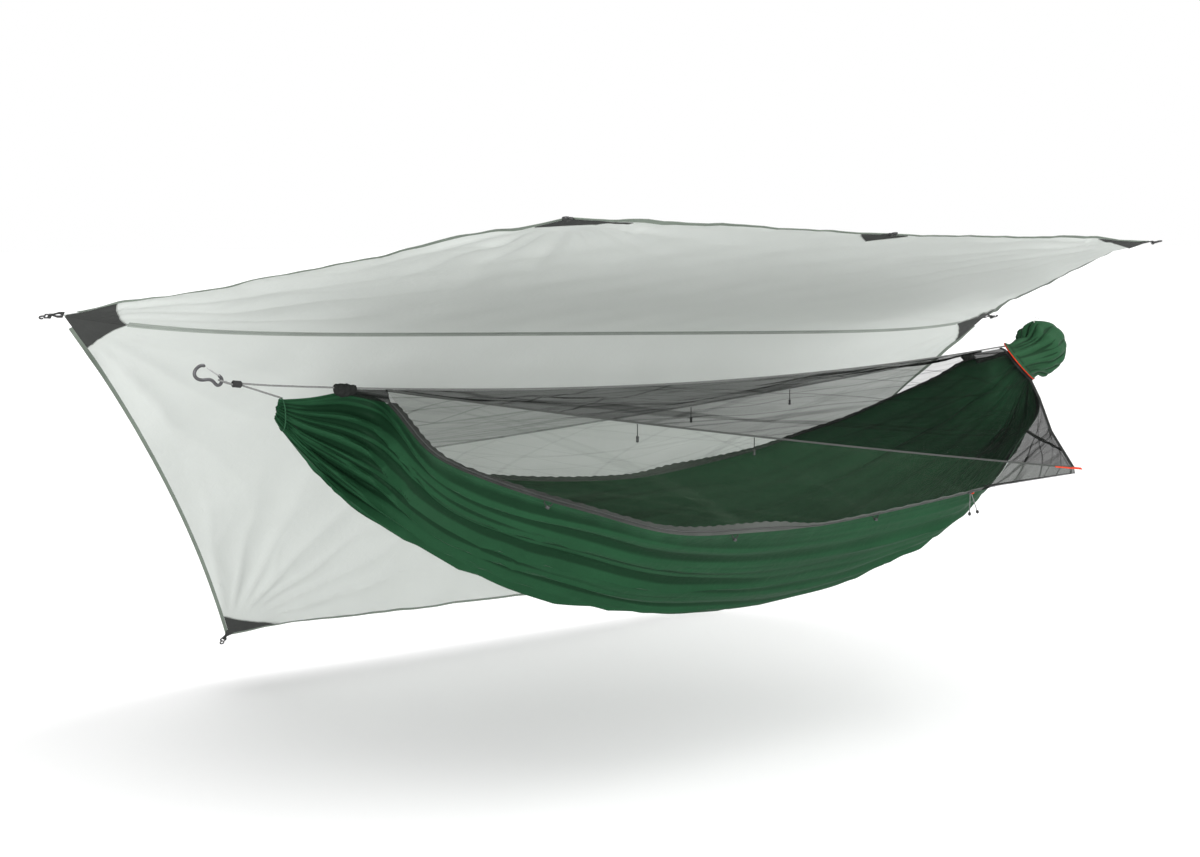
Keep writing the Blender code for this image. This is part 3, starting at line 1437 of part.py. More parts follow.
def build_hammock():
    swing = empty("hammock_swing", (0.0, 0.0, SWING_HEIGHT))
    build_cloth(swing)
    for label, turn in (("front", same), ("back", half_turn)):
        build_zip_tape(f"zip_tape_{label}", turn, swing)
        build_net(f"bug_net_{label}", turn, swing)
        build_wing(f"net_wing_{label}", turn, swing)
        build_slider(label, turn, f"slider_pivot_{label}")
        build_pullout(f"pullout_strap_{label}", turn, swing)
        for number, share in enumerate(TOGGLE_SHARES, 1):
            build_toggle(f"net_toggle_{label}_{number}", share, turn)
    for number, x in enumerate(TIE_LOOP_X, 1):
        build_tie_loop(f"net_tie_loop_{number}", x, swing)
    build_cinch("end_cinch_left", -CINCH_X, CINCH_LEFT_Z, CINCH_LEFT_HALF_Z, swing)
    build_cinch("end_cinch_right", CINCH_X, CINCH_RIGHT_Z, CINCH_RIGHT_HALF_Z, swing)
    left = carabiner_frame(CARABINER_AT, CARABINER_LEAN_DEG, False)
    right = carabiner_frame(STOWED_AT, STOWED_LEAN_DEG, True)
    build_carabiner("left", left, swing)
    build_carabiner("right", right, swing)
    build_left_cords(left, swing)
    build_right_cords(right, swing)
    build_ridge_cord(swing)
    build_net_bundle(swing)
    build_sack(swing)


def main():
    clear_scene()
    build_tarp()
    build_hammock()


main()
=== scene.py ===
"""The looks of the hammock tent: cloth with its folds, see-through net, zipper, cords and hooks.

The shapes repeat the formulas of the part's source at a finer step, so each piece lies where
its solid is. Places are in metres, +Z up, +X along the hammock towards the sack, +Y back.
"""

import math

import bmesh
import bpy
import numpy as np
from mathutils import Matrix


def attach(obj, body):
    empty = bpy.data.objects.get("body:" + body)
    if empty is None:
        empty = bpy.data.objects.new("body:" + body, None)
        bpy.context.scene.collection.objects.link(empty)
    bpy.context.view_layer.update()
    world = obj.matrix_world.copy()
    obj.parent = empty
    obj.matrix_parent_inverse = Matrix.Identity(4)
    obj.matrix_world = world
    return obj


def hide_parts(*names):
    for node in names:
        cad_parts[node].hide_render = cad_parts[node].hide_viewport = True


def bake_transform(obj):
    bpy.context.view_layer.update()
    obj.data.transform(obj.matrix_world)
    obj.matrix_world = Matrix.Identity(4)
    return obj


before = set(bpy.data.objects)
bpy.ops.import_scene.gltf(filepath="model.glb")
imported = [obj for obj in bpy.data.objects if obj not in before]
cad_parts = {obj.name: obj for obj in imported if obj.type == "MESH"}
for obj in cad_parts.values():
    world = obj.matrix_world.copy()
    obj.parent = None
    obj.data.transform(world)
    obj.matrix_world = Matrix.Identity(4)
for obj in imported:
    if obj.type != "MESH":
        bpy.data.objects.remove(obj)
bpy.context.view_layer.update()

TAU = math.tau
SIDEWAYS = np.array((0.0, 1.0, 0.0))
UPWARDS = np.array((0.0, 0.0, 1.0))

# Camera and room
CAMERA_PLACE = (-2.745, -3.523, 0.448)
CAMERA_PITCH_DEG = 82.54
CAMERA_TURN_DEG = -33.68
CAMERA_LENS = 49.05
FLOOR_Z = -1.0
FLOOR_HALF = 60.0
FLOOR_WHITE = 0.72
FLOOR_GLOW = 0.34
FLOOR_BOUNCE = 0.32
AMBIENT = 0.26
# Each lamp's name, strength, and its width, elevation and azimuth in degrees
SUNS = [("key", 2.2, 50, 42, 46), ("fill", 3.0, 20, 5, -33), ("top", 1.6, 60, 84, -30)]

# Tarp
TARP_RIDGE = 3.19
TARP_SIDE = 1.82
TARP_WIDTH = 1.22
TARP_THICK = 0.0012
FRONT_RISE_DEG = 12.2
BACK_DROP_DEG = 55.9
TARP_TILT_DEG = 2.01
RIDGE_PLACE = np.array((-0.03, 0.51, 0.15))
EDGE_CURVE_SHARES = {"left": 0.030, "hem": 0.017, "right": 0.020}
TARP_FLAT_SHARE = 0.85
PANEL_STEPS = (220, 96)
RIDGE_SAG = np.array((0.0, -0.034, -0.050))
RIDGE_SAG_POWER = 6
RIDGE_START_S = 0.0013
# Waves hold their longest and shortest length, how many they are, and some their seed
SLACK_WAVES = (0.75, 0.14, 7)
WANDER_WAVES = (0.5, 0.2, 3)
RIPPLE_WAVES = (0.21, 0.09, 4)
SLACK_HEIGHT = 0.0036
FAN_REACH = {"ridge": 0.62, "hem": 0.50}
FAN_START = 0.05
FAN_RISE = 0.16
FAN_SHARPNESS = 0.8
# Folds at a pulled corner: height, folds per radian, and how far they wander
FANS = [(0.0060, 24, 1), (0.0050, 9, 2)]
HELD_RADIUS = 0.14
RIPPLE_HEIGHT = 0.0010
RIPPLE_REACH = 0.07
RIDGE_HELD = 0.10
SEAM_BEAD = 0.0010
SEAM_TAPE_WIDTH = {"front": 0.016, "back": 0.006}
SEAM_TAPE_THICK = 0.0008
SEAM_TAPE_GAP = 0.0003
BINDING_WIDTH = 0.010
BINDING_THICK = 0.0016
BINDING_GAP = 0.0003
BINDING_BULGE = 0.0004
BINDING_SETBACK = 0.045
PATCH_THICK = 0.0016
PATCH_GAP = 0.0004
RIDGE_PATCH_ALONG = 0.150
RIDGE_PATCH_REACH = {"front": 0.160, "back": 0.130}
HEM_PATCH_SIDE = 0.085
HEM_PATCH_ALONG = 0.170
MIDDLE_PATCH_HALF = 0.075
MIDDLE_PATCH_DEPTH = 0.065
PATCH_BOW = 0.09
PATCH_START = 0.03
PIPING_RADIUS = 0.0011
EYELET_PLATE_HALF = 0.013
EYELET_PLATE_WIDE = 0.026
EYELET_LONG = 0.016
EYELET_WIDE = 0.010
EYELET_RIM = 0.0014
TONGUE_WIDE = 0.010
TONGUE_LENGTH = 0.008
CURL_RADIUS = 0.0038
CURL_TURN_DEG = 290
STRAP_ROLL_DEG = 34.0
HOOK_THICK = 0.0034
HOOK_BAR = 0.0034
HOOK_WINDOW = 0.0085
HOOK_INNER = 0.0062
HOOK_RAIL = 0.0032
HOOK_STEM = 0.0036
HOOK_STEM_LENGTH = 0.004
HOOK_BEND = 0.0060
HOOK_BEND_DEG = 215
HOOK_TIP_DEG = 12
HOOK_NECK = (0.0015, 0.001)
HOOK_ROUND_OFF = 0.0022
HOOK_WINDOW_CORNER = 0.0012
HOOK_BEVEL = 0.0006

# Hammock cloth
SPAN_HALF = 1.295
BELLY_DEPTH = 0.640
BELLY_LENGTH_POWER = 1.90
BELLY_END_POWER = 0.86
BELLY_SIDE_SHIFT = 0.070
BELLY_SECTION_POWER = 1.65
END_HANG = 0.022
CLOTH_THICK = 0.0016
CLOTH_COLUMNS = 34
PLEAT_COUNT = 4
PLEAT_DEPTH = 0.0060
PLEAT_FADE = 0.22
NECK_START = 1.08
NECK_LENGTH = 0.13
NECK_SHARE = 0.50
CLOTH_STEPS = (321, 141)
CLOTH_WANDER_WAVES = (1.6, 0.7, 3, 5)
SAG_WAVES = (0.7, 0.20, 6, 8)
EDGE_WAVES = (0.16, 0.06, 4, 3)
RAGGED_WAVES = (0.30, 0.07, 5, 21)
FOLD_COUNTS = (5.5, 9, 13)
FOLD_HEIGHTS = (0.0145, 0.0070, 0.0030)
FOLD_RUN = 0.50
FINE_FOLD_RUN = 0.035
RIGHT_FOLD_SHARE = 0.45
SAG_HEIGHT = 0.0030
EDGE_WAVE_HEIGHT = 0.0012
RAGGED_HEIGHT = 0.0035
RAGGED_RUN = 0.006
FRONT_EDGE_LEFT = [
    (-1.292, -0.012, 0.027),
    (-1.179, 0.010, 0.026),
    (-1.106, 0.020, 0.030),
    (-1.046, 0.015, 0.018),
    (-1.037, -0.080, -0.006),
    (-1.035, -0.160, -0.047),
    (-1.019, -0.270, -0.101),
    (-0.923, -0.335, -0.154),
    (-0.795, -0.375, -0.205),
    (-0.676, -0.430, -0.246),
    (-0.553, -0.475, -0.287),
    (-0.300, -0.466, -0.320),
]
ZIP_ARC_START = (0.000, -0.434, -0.3340)
ZIP_ARC_MIDDLE = (0.270, -0.438, -0.3180)
ZIP_ARC_END = (0.520, -0.470, -0.2880)
FRONT_EDGE_RIGHT = [
    (0.725, -0.395, -0.214),
    (0.931, -0.275, -0.168),
    (1.100, -0.160, -0.128),
    (1.180, -0.070, -0.092),
    (1.226, -0.018, -0.058),
    (1.290, -0.012, 0.010),
]
ZIP_ARC_STEPS = 6

# Bug net and zipper
NET_HEM_SHARE = 0.80
NET_END_POWER = 6
NET_LEFT_X = -1.014
NET_RIGHT_X = 1.098
NET_START_DROP = 0.006
RIDGE_CORD_LOW = -0.003
RIDGE_CORD_RISE = 0.070
PULLOUT_TIP = np.array((0.724, -0.620, -0.229))
HEM_TIP_DROP = 0.010
WING_CURVE = 0.012
WING_END_OFFSET = np.array((0.004, -0.004, 0.003))
NET_MOUTH_DEG = (55.0, 0.0, -55.0)
NET_MOUTH_CLEAR = 0.006
WING_GAP = 0.0030
WING_TOP_SHARE = 0.80
WING_END_X = 1.120
NET_SAG = 0.012
NET_THICK = 0.0010
NET_COLUMNS = 170
NET_HEM_COLUMNS = 40
WING_HEM_COLUMNS = 24
ROOF_WAVES = (0.8, 0.2, 5, 41)
SIDE_WAVES = (0.7, 0.12, 6, 43)
ROOF_SLACK = (0.006, 0.003)
SIDE_SLACK = 0.0045
WING_SLACK = 0.004
STRIP_THICK = 0.0012
# The net's doubled corner and its bunched one, as rows, columns and drop
END_PATCH = (slice(1, 9), slice(-18, -12), 0.002)
END_BUNCH = (slice(13), slice(-14, None), 0.003)
LOW_HEM_COLUMNS = 40
WING_SEAM_COLUMNS = slice(33, 36)
WING_SEAM_RISE = 0.001
FOLD_SEAM_THICK = 0.0008
FOLD_SEAM_RISES = (0.0006, 0.0030, 0.0055)
LINING_OFF = 0.0022
NET_TOP_OFF = np.array((0, -0.0022, -0.0026))
BUNDLE_X = (-1.142, -1.0995)
BUNDLE_SIZE = 0.0090
BUNDLE_SHARES = [(0.0, 0.35), (0.15, 0.85), (0.45, 1.0), (0.75, 0.80), (1.0, 0.55)]
BUNDLE_DROP_SHARE = 1.30
BUNDLE_OVERRUN = (0.006, 0.014)
BUNDLE_GAP = 0.0004
BUNDLE_WIDE_SHARE = 0.78
BUNDLE_CREASE = 0.12
TAPER_OVERLAP = (0.008, 0.004)
TAPER_DROP = 0.018
TAPER_TAPE_SHARE = 0.4
TAPER_CREASE = 0.0014
ZIP_TAPE_WIDTH = 0.022
ZIP_TAPE_THICK = 0.0014
ZIP_TAPE_GAP = 0.0004
# The tape's free edge: where it runs, its waves and its ripples, each with its pitch
ZIP_EDGE_IN = 0.0016
ZIP_EDGE_OUT = 0.0012
ZIP_WAVE = (0.0016, 0.030)
ZIP_RIPPLE = (0.0008, 0.055)
ZIP_BULGE = 0.0012
ZIP_CLOTH_THICK = 0.0009
ZIP_COIL = 0.0015
ZIP_TOOTH = 0.0009
ZIP_TOOTH_HEIGHT = 0.16
ZIP_COIL_HIGH = 0.0011
ZIP_COIL_SHARE = 0.36
ZIP_COIL_OFF = {"out": 0.0016, "in": -0.0006}
SHARPEST_BEND_SHARE = -0.5
ZIP_START_KNOT = 4
TAPE_LEAN_SHARE = 0.12
TAPE_TURN_SHARE = 0.09
SLIDER_LENGTH = 0.020
SLIDER_WIDTH = 0.012
SLIDER_THICK = 0.0050
SLIDER_GAP = 0.0004
SLIDER_AT_SHARE = 0.93
SLIDER_OUTLINE = [(-1, 0.55), (-0.75, 0.9), (0, 0.8), (0.5, 1), (1, 0.7)]
SLIDER_BEVEL = 0.0008
SLIDER_WIRE = 0.0011
PULL_CORD = 0.0024
PULL_LENGTH = 0.060
PULL_DROP = 0.0021
PULL_KNOT = 0.0075
PULL_KNOT_LENGTH = 0.010
SIDE_PULL_WAY = (0.35, -0.10, -0.93)
SIDE_PULL_STEP = 0.004
TIE_LOOP_RADIUS = 0.010
TIE_LOOP_CORD = 0.0024
TIE_LOOP_GAP = 0.0018
TIE_LOOP_X = (-0.790, -0.320, 0.175)
BEAD_PROFILE = [(0, 0.0016), (0.001, 0.0034), (0.009, 0.0034), (0.010, 0.0016)]
TOGGLE_LENGTH = 0.046
TOGGLE_CORD = 0.0024
TOGGLE_BARREL = 0.0075
TOGGLE_BARREL_LENGTH = 0.016
# Along the barrel, with the share of its radius
TOGGLE_PROFILE = [
    (0, 0.35),
    (0.0006, 0.8),
    (0.0016, 1),
    (0.0045, 1),
    (0.0055, 0.86),
    (0.0105, 0.86),
    (0.0115, 1),
    (0.0144, 1),
    (0.0154, 0.8),
    (0.0160, 0.35),
]
TOGGLE_CORD_INSIDE = 0.002
TOGGLE_SHARES = (0.35, 0.52)
TOGGLE_INSET = 0.0022
TOGGLE_DROP = 0.0011
PULLOUT_LENGTH = 0.080
PULLOUT_WIDTH = 0.010
PULLOUT_OVERRUN = 0.018
PULLOUT_OFF = 0.0018
PULLOUT_SEAM_SHARE = 0.9
PULLOUT_THICK = 0.0014

# Cords and carabiners
CORD = 0.0045
BRAID_STEP_SHARE = 0.26
BRAID_FINEST_STEP = 0.0008
BRAID_PITCH_SHARE = 2.1
BRAID_SIDES = 16
TURNED_SIDES = 24
COLLAR_AT = np.array((-1.386, 0.0, 0.0668))
COLLAR_TOWARDS = np.array((-1.275, 0.0, 0.050))
COLLAR_LENGTH = 0.022
COLLAR_RADIUS = 0.0079
COLLAR_WALL = 0.0022
COLLAR_WRAPS = 9
COLLAR_WRAP_HEIGHT = 0.05
STRAND_LOW = 0.0016
STRAND_SIDE = 0.0026
STRAND_HIGH = 0.0025
LOOP_AT = (0.0012, 0.0045)
LOOP_GAP = 0.0008
LOOP_END_SHARE = 0.45
LEAVE_SHARE = 0.55
LEAVE_HIGH_SHARE = 0.60
RIDGE_CORD_INSIDE_SHARE = 0.30
RIDGE_CORD_X = (-1.30, 1.20)
RIDGE_CORD_KNOTS = 25
RIDGE_CORD_TAIL = [(-0.060, 0.0, -0.028), (-0.020, 0.0, -0.036)]
STOWED_AT = np.array((1.322, 0.0, 0.082))
STOWED_LEAN_DEG = 4.0
STOWED_LOOP_AT = (0.0004, 0.0)
STOWED_COLLAR_OFFSET = np.array((0.016, 0.0, -0.030))
STOWED_TURN = np.array((-0.012, 0.0, -0.008))
STOWED_END = np.array((0.012, 0.0, 0.0))
CINCH_HALF_Y = 0.024
# Each cinch ring's x, and its middle and half height
CINCHES = {"left": (-1.280, -0.010, 0.044), "right": (1.280, 0.002, 0.032)}
CINCH_CORD = 0.0030
CINCH_DRAWN_SHARE = 0.86
GATHER_TUCK = np.array((0.003, 0.0, -0.010))
TAUT_SHARES = (0, 0.06, 0.3, 0.6, 0.88, 1)
CARABINER_AT = np.array((-1.4218, 0.0, 0.0713))
CARABINER_LEAN_DEG = 25.7
CARABINER_ROD = 0.0078
GROOVE_DEPTH_SHARE = 0.13
GROOVE_WIDTH_SHARE = 0.05
ROD_ENDS = 24
CARABINER_LINE = [
    (0.0150, 0.0140),
    (0.0090, 0.0118),
    (0.0035, 0.0085),
    (0.0010, 0.0030),
    (0.0018, -0.0040),
    (0.0065, -0.0080),
    (0.0140, -0.0068),
    (0.0220, -0.0036),
    (0.0300, -0.0040),
    (0.0385, -0.0080),
    (0.0475, -0.0120),
    (0.0570, -0.0125),
    (0.0650, -0.0080),
    (0.0680, 0.0005),
    (0.0660, 0.0095),
    (0.0610, 0.0165),
    (0.0555, 0.0195),
    (0.0500, 0.0190),
]
GATE_WIRE = 0.0020
GATE_GAP = 0.0004
GATE_PIN_DEPTH = 0.0018
GATE_BEND = 0.0016
GATE_END_GAP = 0.0006
GATE_STEP = 0.0012

# Stuff sack
SACK_MOUTH = np.array((1.185, 0.0, -0.0075))
SACK_END = np.array((1.368, 0.0, 0.070))
SACK_MOUTH_UP = np.array((-0.070, 0.0, 0.0580))
SACK_MOUTH_FRONT = np.array((-0.062, -0.060, -0.006))
SACK_HEIGHT = 0.170
SACK_WIDTH = 0.156
SACK_RING_SHARES = [
    (0.00, 1.00, 1.00),
    (0.14, 0.93, 0.97),
    (0.38, 0.98, 1.00),
    (0.64, 1.00, 0.97),
    (0.84, 0.80, 0.80),
    (0.95, 0.50, 0.50),
    (1.00, 0.20, 0.20),
]
SACK_SQUARE_SHARE = 0.4
SACK_WALL = 0.0014
SACK_PLEAT = 0.085
SACK_WAIST = 0.24
SACK_BULGE = 0.07
SACK_CREASE = 0.042
SACK_FAN = 0.055
SACK_TAIL = 0.10
SACK_DENT = 0.050
SACK_SLIM = 0.03
SACK_MOUTH_SHARE = 0.03
# The drawn end closes in rings: each one's share of the last, and how far they sink
SACK_CLOSING = (0.76, 0.52, 0.28, 0.04)
SACK_CLOSING_DEPTH = 0.006
TRIM_CORD = 0.0034
TRIM_GAP = 0.0004
LOOP_CORD = 0.0024
LOOP_HALF = 0.012
LOOP_AT_SHARE = 0.72
LOOP_RISE = 0.0004


# ---- small tools ----


def unit(vector):
    return vector / np.linalg.norm(vector, axis=-1, keepdims=True)


def smooth_step(value):
    value = np.clip(value, 0, 1)
    return value * value * (3 - 2 * value)


def bell(value, width, middle=0.0):
    """1 at the middle, falling off smoothly over the width."""
    return np.exp(-(((value - middle) / width) ** 2))


def hump(share):
    """0 at both ends and 1 halfway."""
    return math.sin(math.pi * share)


def round_about(count):
    """Angles once round a circle."""
    return TAU * np.arange(count) / count


def natural_spline(points):
    """A smooth curve through the points; its parameter is the share of the chord length."""
    p = np.array(points, float)
    knots = np.concatenate([[0], np.cumsum(np.linalg.norm(np.diff(p, axis=0), axis=1))])
    knots /= knots[-1]
    h = np.diff(knots)
    count = len(p)
    system = np.eye(count)
    right = np.zeros_like(p)
    for i in range(1, count - 1):
        system[i, i - 1 : i + 2] = h[i - 1], 2 * (h[i - 1] + h[i]), h[i]
        right[i] = 6 * ((p[i + 1] - p[i]) / h[i] - (p[i] - p[i - 1]) / h[i - 1])
    bend = np.linalg.solve(system, right)

    def at(t):
        i = np.clip(np.searchsorted(knots, t) - 1, 0, count - 2)
        a, b, step = (np.asarray(q)[..., None] for q in (knots[i + 1] - t, t - knots[i], h[i]))
        curve = (bend[i] * a**3 + bend[i + 1] * b**3) / (6 * step)
        return curve + (p[i] / step - bend[i] * step / 6) * a + (
            p[i + 1] / step - bend[i + 1] * step / 6
        ) * b

    return at


def waves(x, y, longest, shortest, count, seed):
    """Soft unevenness of about unit height, from sine waves with seeded ways and phases."""
    chance = np.random.default_rng(seed)
    total = 0.0
    for length in np.geomspace(longest, shortest, count):
        way, phase = chance.uniform(0, TAU, 2)
        run = x * math.cos(way) + y * math.sin(way)
        total = total + np.sin(TAU * run / length + phase) * (length / longest) ** 0.7
    return total / math.sqrt(count / 2)


def folds(angle, sharpness=0.6):
    """Folds from -1 to 1, with broad crests and narrow valleys."""
    return 2 * np.abs(np.sin(angle / 2)) ** sharpness - 1


def evenly(path, step, closed=False):
    """The path with places an even step apart."""
    p = np.asarray(path, float)
    if closed:
        p = np.concatenate([p, p[:1]])
    along = np.concatenate([[0], np.cumsum(np.linalg.norm(np.diff(p, axis=0), axis=1))])
    count = max(3, round(along[-1] / step) + 1)
    wanted = np.linspace(0, along[-1], count)
    found = np.stack([np.interp(wanted, along, p[:, axis]) for axis in range(3)], axis=1)
    return found[:-1] if closed else found


# ---- meshes ----


def add(name, points, faces, look, uv=None, sharp_deg=50, weld=False, outwards=True):
    """A smooth mesh piece. The uv map holds metres on the cloth, for weaves and seams."""
    mesh = bpy.data.meshes.new(name)
    mesh.from_pydata(np.asarray(points, float).reshape(-1, 3).tolist(), [], faces)
    if uv is not None:
        corner = np.empty(len(mesh.loops), int)
        mesh.loops.foreach_get("vertex_index", corner)
        layer = mesh.uv_layers.new(name="weave")
        layer.data.foreach_set("uv", np.asarray(uv, np.float32).reshape(-1, 2)[corner].ravel())
    form = bmesh.new()
    form.from_mesh(mesh)
    if weld:
        bmesh.ops.remove_doubles(form, verts=form.verts, dist=1e-6)
    if outwards:
        bmesh.ops.recalc_face_normals(form, faces=form.faces)
    form.to_mesh(mesh)
    form.free()
    mesh.materials.append(look)
    mesh.shade_smooth()
    mesh.set_sharp_from_angle(angle=math.radians(sharp_deg))
    made = bpy.data.objects.new(name, mesh)
    bpy.context.collection.objects.link(made)
    return made


def quads(rows, columns, wrap_rows=False, wrap_columns=False):
    i, j = np.meshgrid(
        np.arange(rows if wrap_rows else rows - 1),
        np.arange(columns if wrap_columns else columns - 1),
        indexing="ij",
    )
    a, b = i * columns, (i + 1) % rows * columns
    c, d = j, (j + 1) % columns
    return np.stack([a + c, a + d, b + d, b + c], axis=-1).reshape(-1, 4)


def grid_uv(grid):
    """Metres along the rows and down the columns."""
    along = np.linalg.norm(np.diff(grid, axis=1), axis=2)
    down = np.linalg.norm(np.diff(grid, axis=0), axis=2)
    u = np.concatenate([np.zeros((grid.shape[0], 1)), np.cumsum(along, axis=1)], axis=1)
    v = np.concatenate([np.zeros((1, grid.shape[1])), np.cumsum(down, axis=0)], axis=0)
    return np.stack([u, v], axis=-1)


def grid_area(grid):
    """The cloth's area, as cut."""
    across, down = np.diff(grid, axis=1)[:-1], np.diff(grid, axis=0)[:, :-1]
    return float(np.linalg.norm(np.cross(across, down), axis=2).sum())


def open_sheet(name, grid, look):
    """One layer of cloth on a grid of places, for net, which lets the light through."""
    grid = np.asarray(grid, float)
    faces = quads(*grid.shape[:2]).tolist()
    return add(name, grid, faces, look, grid_uv(grid), sharp_deg=180, outwards=False)


def shell(name, grid, thick, look, uv=None, weld=False):
    """A closed sheet of even thickness on a grid of places."""
    grid = np.asarray(grid, float)
    rows, columns = grid.shape[:2]
    across, down = np.gradient(grid, axis=1), np.gradient(grid, axis=0)
    if weld:
        ends = grid[:, 1] - grid[:, -2]
        across[:, 0] = across[:, -1] = ends / 2
    normal = unit(np.cross(across, down))
    uv = grid_uv(grid) if uv is None else uv
    count = rows * columns
    top = quads(rows, columns)
    low = top[:, ::-1] + count
    number = np.arange(count).reshape(rows, columns)
    rims = []
    lines = [number[0], number[-1][::-1]]
    if not weld:
        lines += [number[::-1, 0], number[:, -1]]
    for line in lines:
        rims.append(np.stack([line[1:], line[:-1], line[:-1] + count, line[1:] + count], axis=1))
    faces = np.concatenate([top, low, *rims]).tolist()
    points = np.concatenate([grid + normal * thick / 2, grid - normal * thick / 2])
    return add(name, points, faces, look, np.concatenate([uv, uv]), weld=weld)


def square_to(way):
    """A direction at right angles to that one."""
    return unit(np.cross(way, np.eye(3)[np.argmin(np.abs(way))]))


def wheel(side, other, sides):
    """Unit ways round a circle, from side towards other."""
    turn = round_about(sides)[:, None]
    return np.cos(turn) * side + np.sin(turn) * other


def tube_rings(path, radius, sides, closed=False, shape=1.0):
    """Rings round a path with little twist; shape scales each place of each ring."""
    p = np.asarray(path, float)
    if closed:
        tangent = unit(np.roll(p, -1, axis=0) - np.roll(p, 1, axis=0))
    else:
        tangent = unit(np.gradient(p, axis=0))
    side = square_to(tangent[0])
    ways = []
    for t in tangent:
        side = unit(side - t * side.dot(t))
        ways.append(side)
    side = np.array(ways)
    other = np.cross(tangent, side)
    reach = np.broadcast_to(np.asarray(radius, float), len(p))[:, None] * shape
    reach = np.broadcast_to(reach, (len(p), sides))
    return p[:, None] + wheel(side[:, None], other[:, None], sides) * reach[..., None]


def add_rings(name, rings, look, closed=False):
    rings = np.asarray(rings, float)
    count, sides = rings.shape[:2]
    faces = quads(count, sides, wrap_rows=closed, wrap_columns=True).tolist()
    if not closed:
        faces.append(list(range(sides))[::-1])
        faces.append([(count - 1) * sides + k for k in range(sides)])
    return add(name, rings, faces, look)


def tube(name, path, radius, look, sides, closed=False, shape=1.0):
    return add_rings(name, tube_rings(path, radius, sides, closed, shape), look, closed)


def braided(name, path, diameter, look, closed=False):
    """A plaited cord: two families of strands cross on its face."""
    step = max(BRAID_FINEST_STEP, diameter * BRAID_STEP_SHARE)
    path = evenly(path, step, closed)
    turns = len(path) * step / (diameter * BRAID_PITCH_SHARE)
    if closed:
        turns = max(1, round(turns))
    lay = TAU * np.arange(len(path))[:, None] * turns / len(path)
    turn = round_about(BRAID_SIDES)
    strands = np.maximum(np.cos(4 * turn + lay), np.cos(4 * turn - lay))
    return tube(name, path, diameter / 2, look, BRAID_SIDES, closed, 0.96 + 0.07 * strands)


def turned(name, profile, top, look, down=-UPWARDS):
    """A turned piece along down from top: profile holds (distance, radius)."""
    profile = np.array(profile, float)
    down = unit(np.asarray(down, float))
    side = square_to(down)
    ring = wheel(side, np.cross(down, side), TURNED_SIDES)
    middle = np.asarray(top) + profile[:, :1] * down
    return add_rings(name, middle[:, None] + ring * profile[:, 1][:, None, None], look)


def plate(name, outline, thick, turn_to_world, look, bevel):
    """A flat moulded piece from closed outlines of (along, across); the first is outermost."""
    curve = bpy.data.curves.new(name, "CURVE")
    curve.dimensions = "2D"
    curve.fill_mode = "BOTH"
    curve.extrude = thick / 2 - bevel
    curve.bevel_depth = bevel
    curve.bevel_resolution = 2
    curve.offset = -bevel
    for ring in outline:
        line = curve.splines.new("POLY")
        line.points.add(len(ring) - 1)
        for spot, (a, b) in zip(line.points, ring):
            spot.co = (a, b, 0, 1)
        line.use_cyclic_u = True
    drawn = bpy.data.objects.new(name + "_drawn", curve)
    bpy.context.collection.objects.link(drawn)
    graph = bpy.context.evaluated_depsgraph_get()
    mesh = bpy.data.meshes.new_from_object(drawn.evaluated_get(graph))
    points = np.array([turn_to_world(v.co) for v in mesh.vertices])
    faces = [list(f.vertices) for f in mesh.polygons]
    bpy.data.objects.remove(drawn)
    bpy.data.curves.remove(curve)
    bpy.data.meshes.remove(mesh)
    return add(name, points, faces, look, sharp_deg=35, weld=True)


def joined(name, pieces):
    """Several meshes as one piece."""
    bpy.ops.object.select_all(action="DESELECT")
    for piece in pieces:
        piece.select_set(True)
    bpy.context.view_layer.objects.active = pieces[0]
    bpy.ops.object.join()
    pieces[0].name = name
    return pieces[0]


def marked(piece, slot, *nodes):
    if nodes:
        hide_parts(*nodes)
    return piece


def carried(piece, body, slot, *nodes):
    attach(piece, body)
    return marked(piece, slot, *nodes)


# ---- materials ----


class Nodes:
    """Short calls that add nodes to a tree."""

    def __init__(self, tree):
        self.tree = tree

    def put(self, node, name, value):
        socket = node.inputs[name]
        if isinstance(value, bpy.types.NodeSocket):
            self.tree.links.new(value, socket)
        else:
            socket.default_value = value

    def node(self, kind, values=None, **settings):
        made = self.tree.nodes.new("ShaderNode" + kind)
        for name, value in settings.items():
            setattr(made, name, value)
        for name, value in (values or {}).items():
            self.put(made, name, value)
        return made

    def math(self, operation, a, b=0.0, clamp=False):
        made = self.node("Math", {0: a, 1: b}, operation=operation, use_clamp=clamp)
        return made.outputs[0]

    def ramp(self, value, low, high, start, end):
        values = {"Value": value, "From Min": low, "From Max": high, "To Min": start, "To Max": end}
        return self.node("MapRange", values).outputs["Result"]

    def shown_share(self):
        """1 for rays that show the background itself, to the eye or in a gloss."""
        path = self.node("LightPath").outputs
        seen = self.math("MAXIMUM", path["Is Camera Ray"], path["Is Glossy Ray"])
        return self.math("MAXIMUM", seen, path["Is Transmission Ray"])


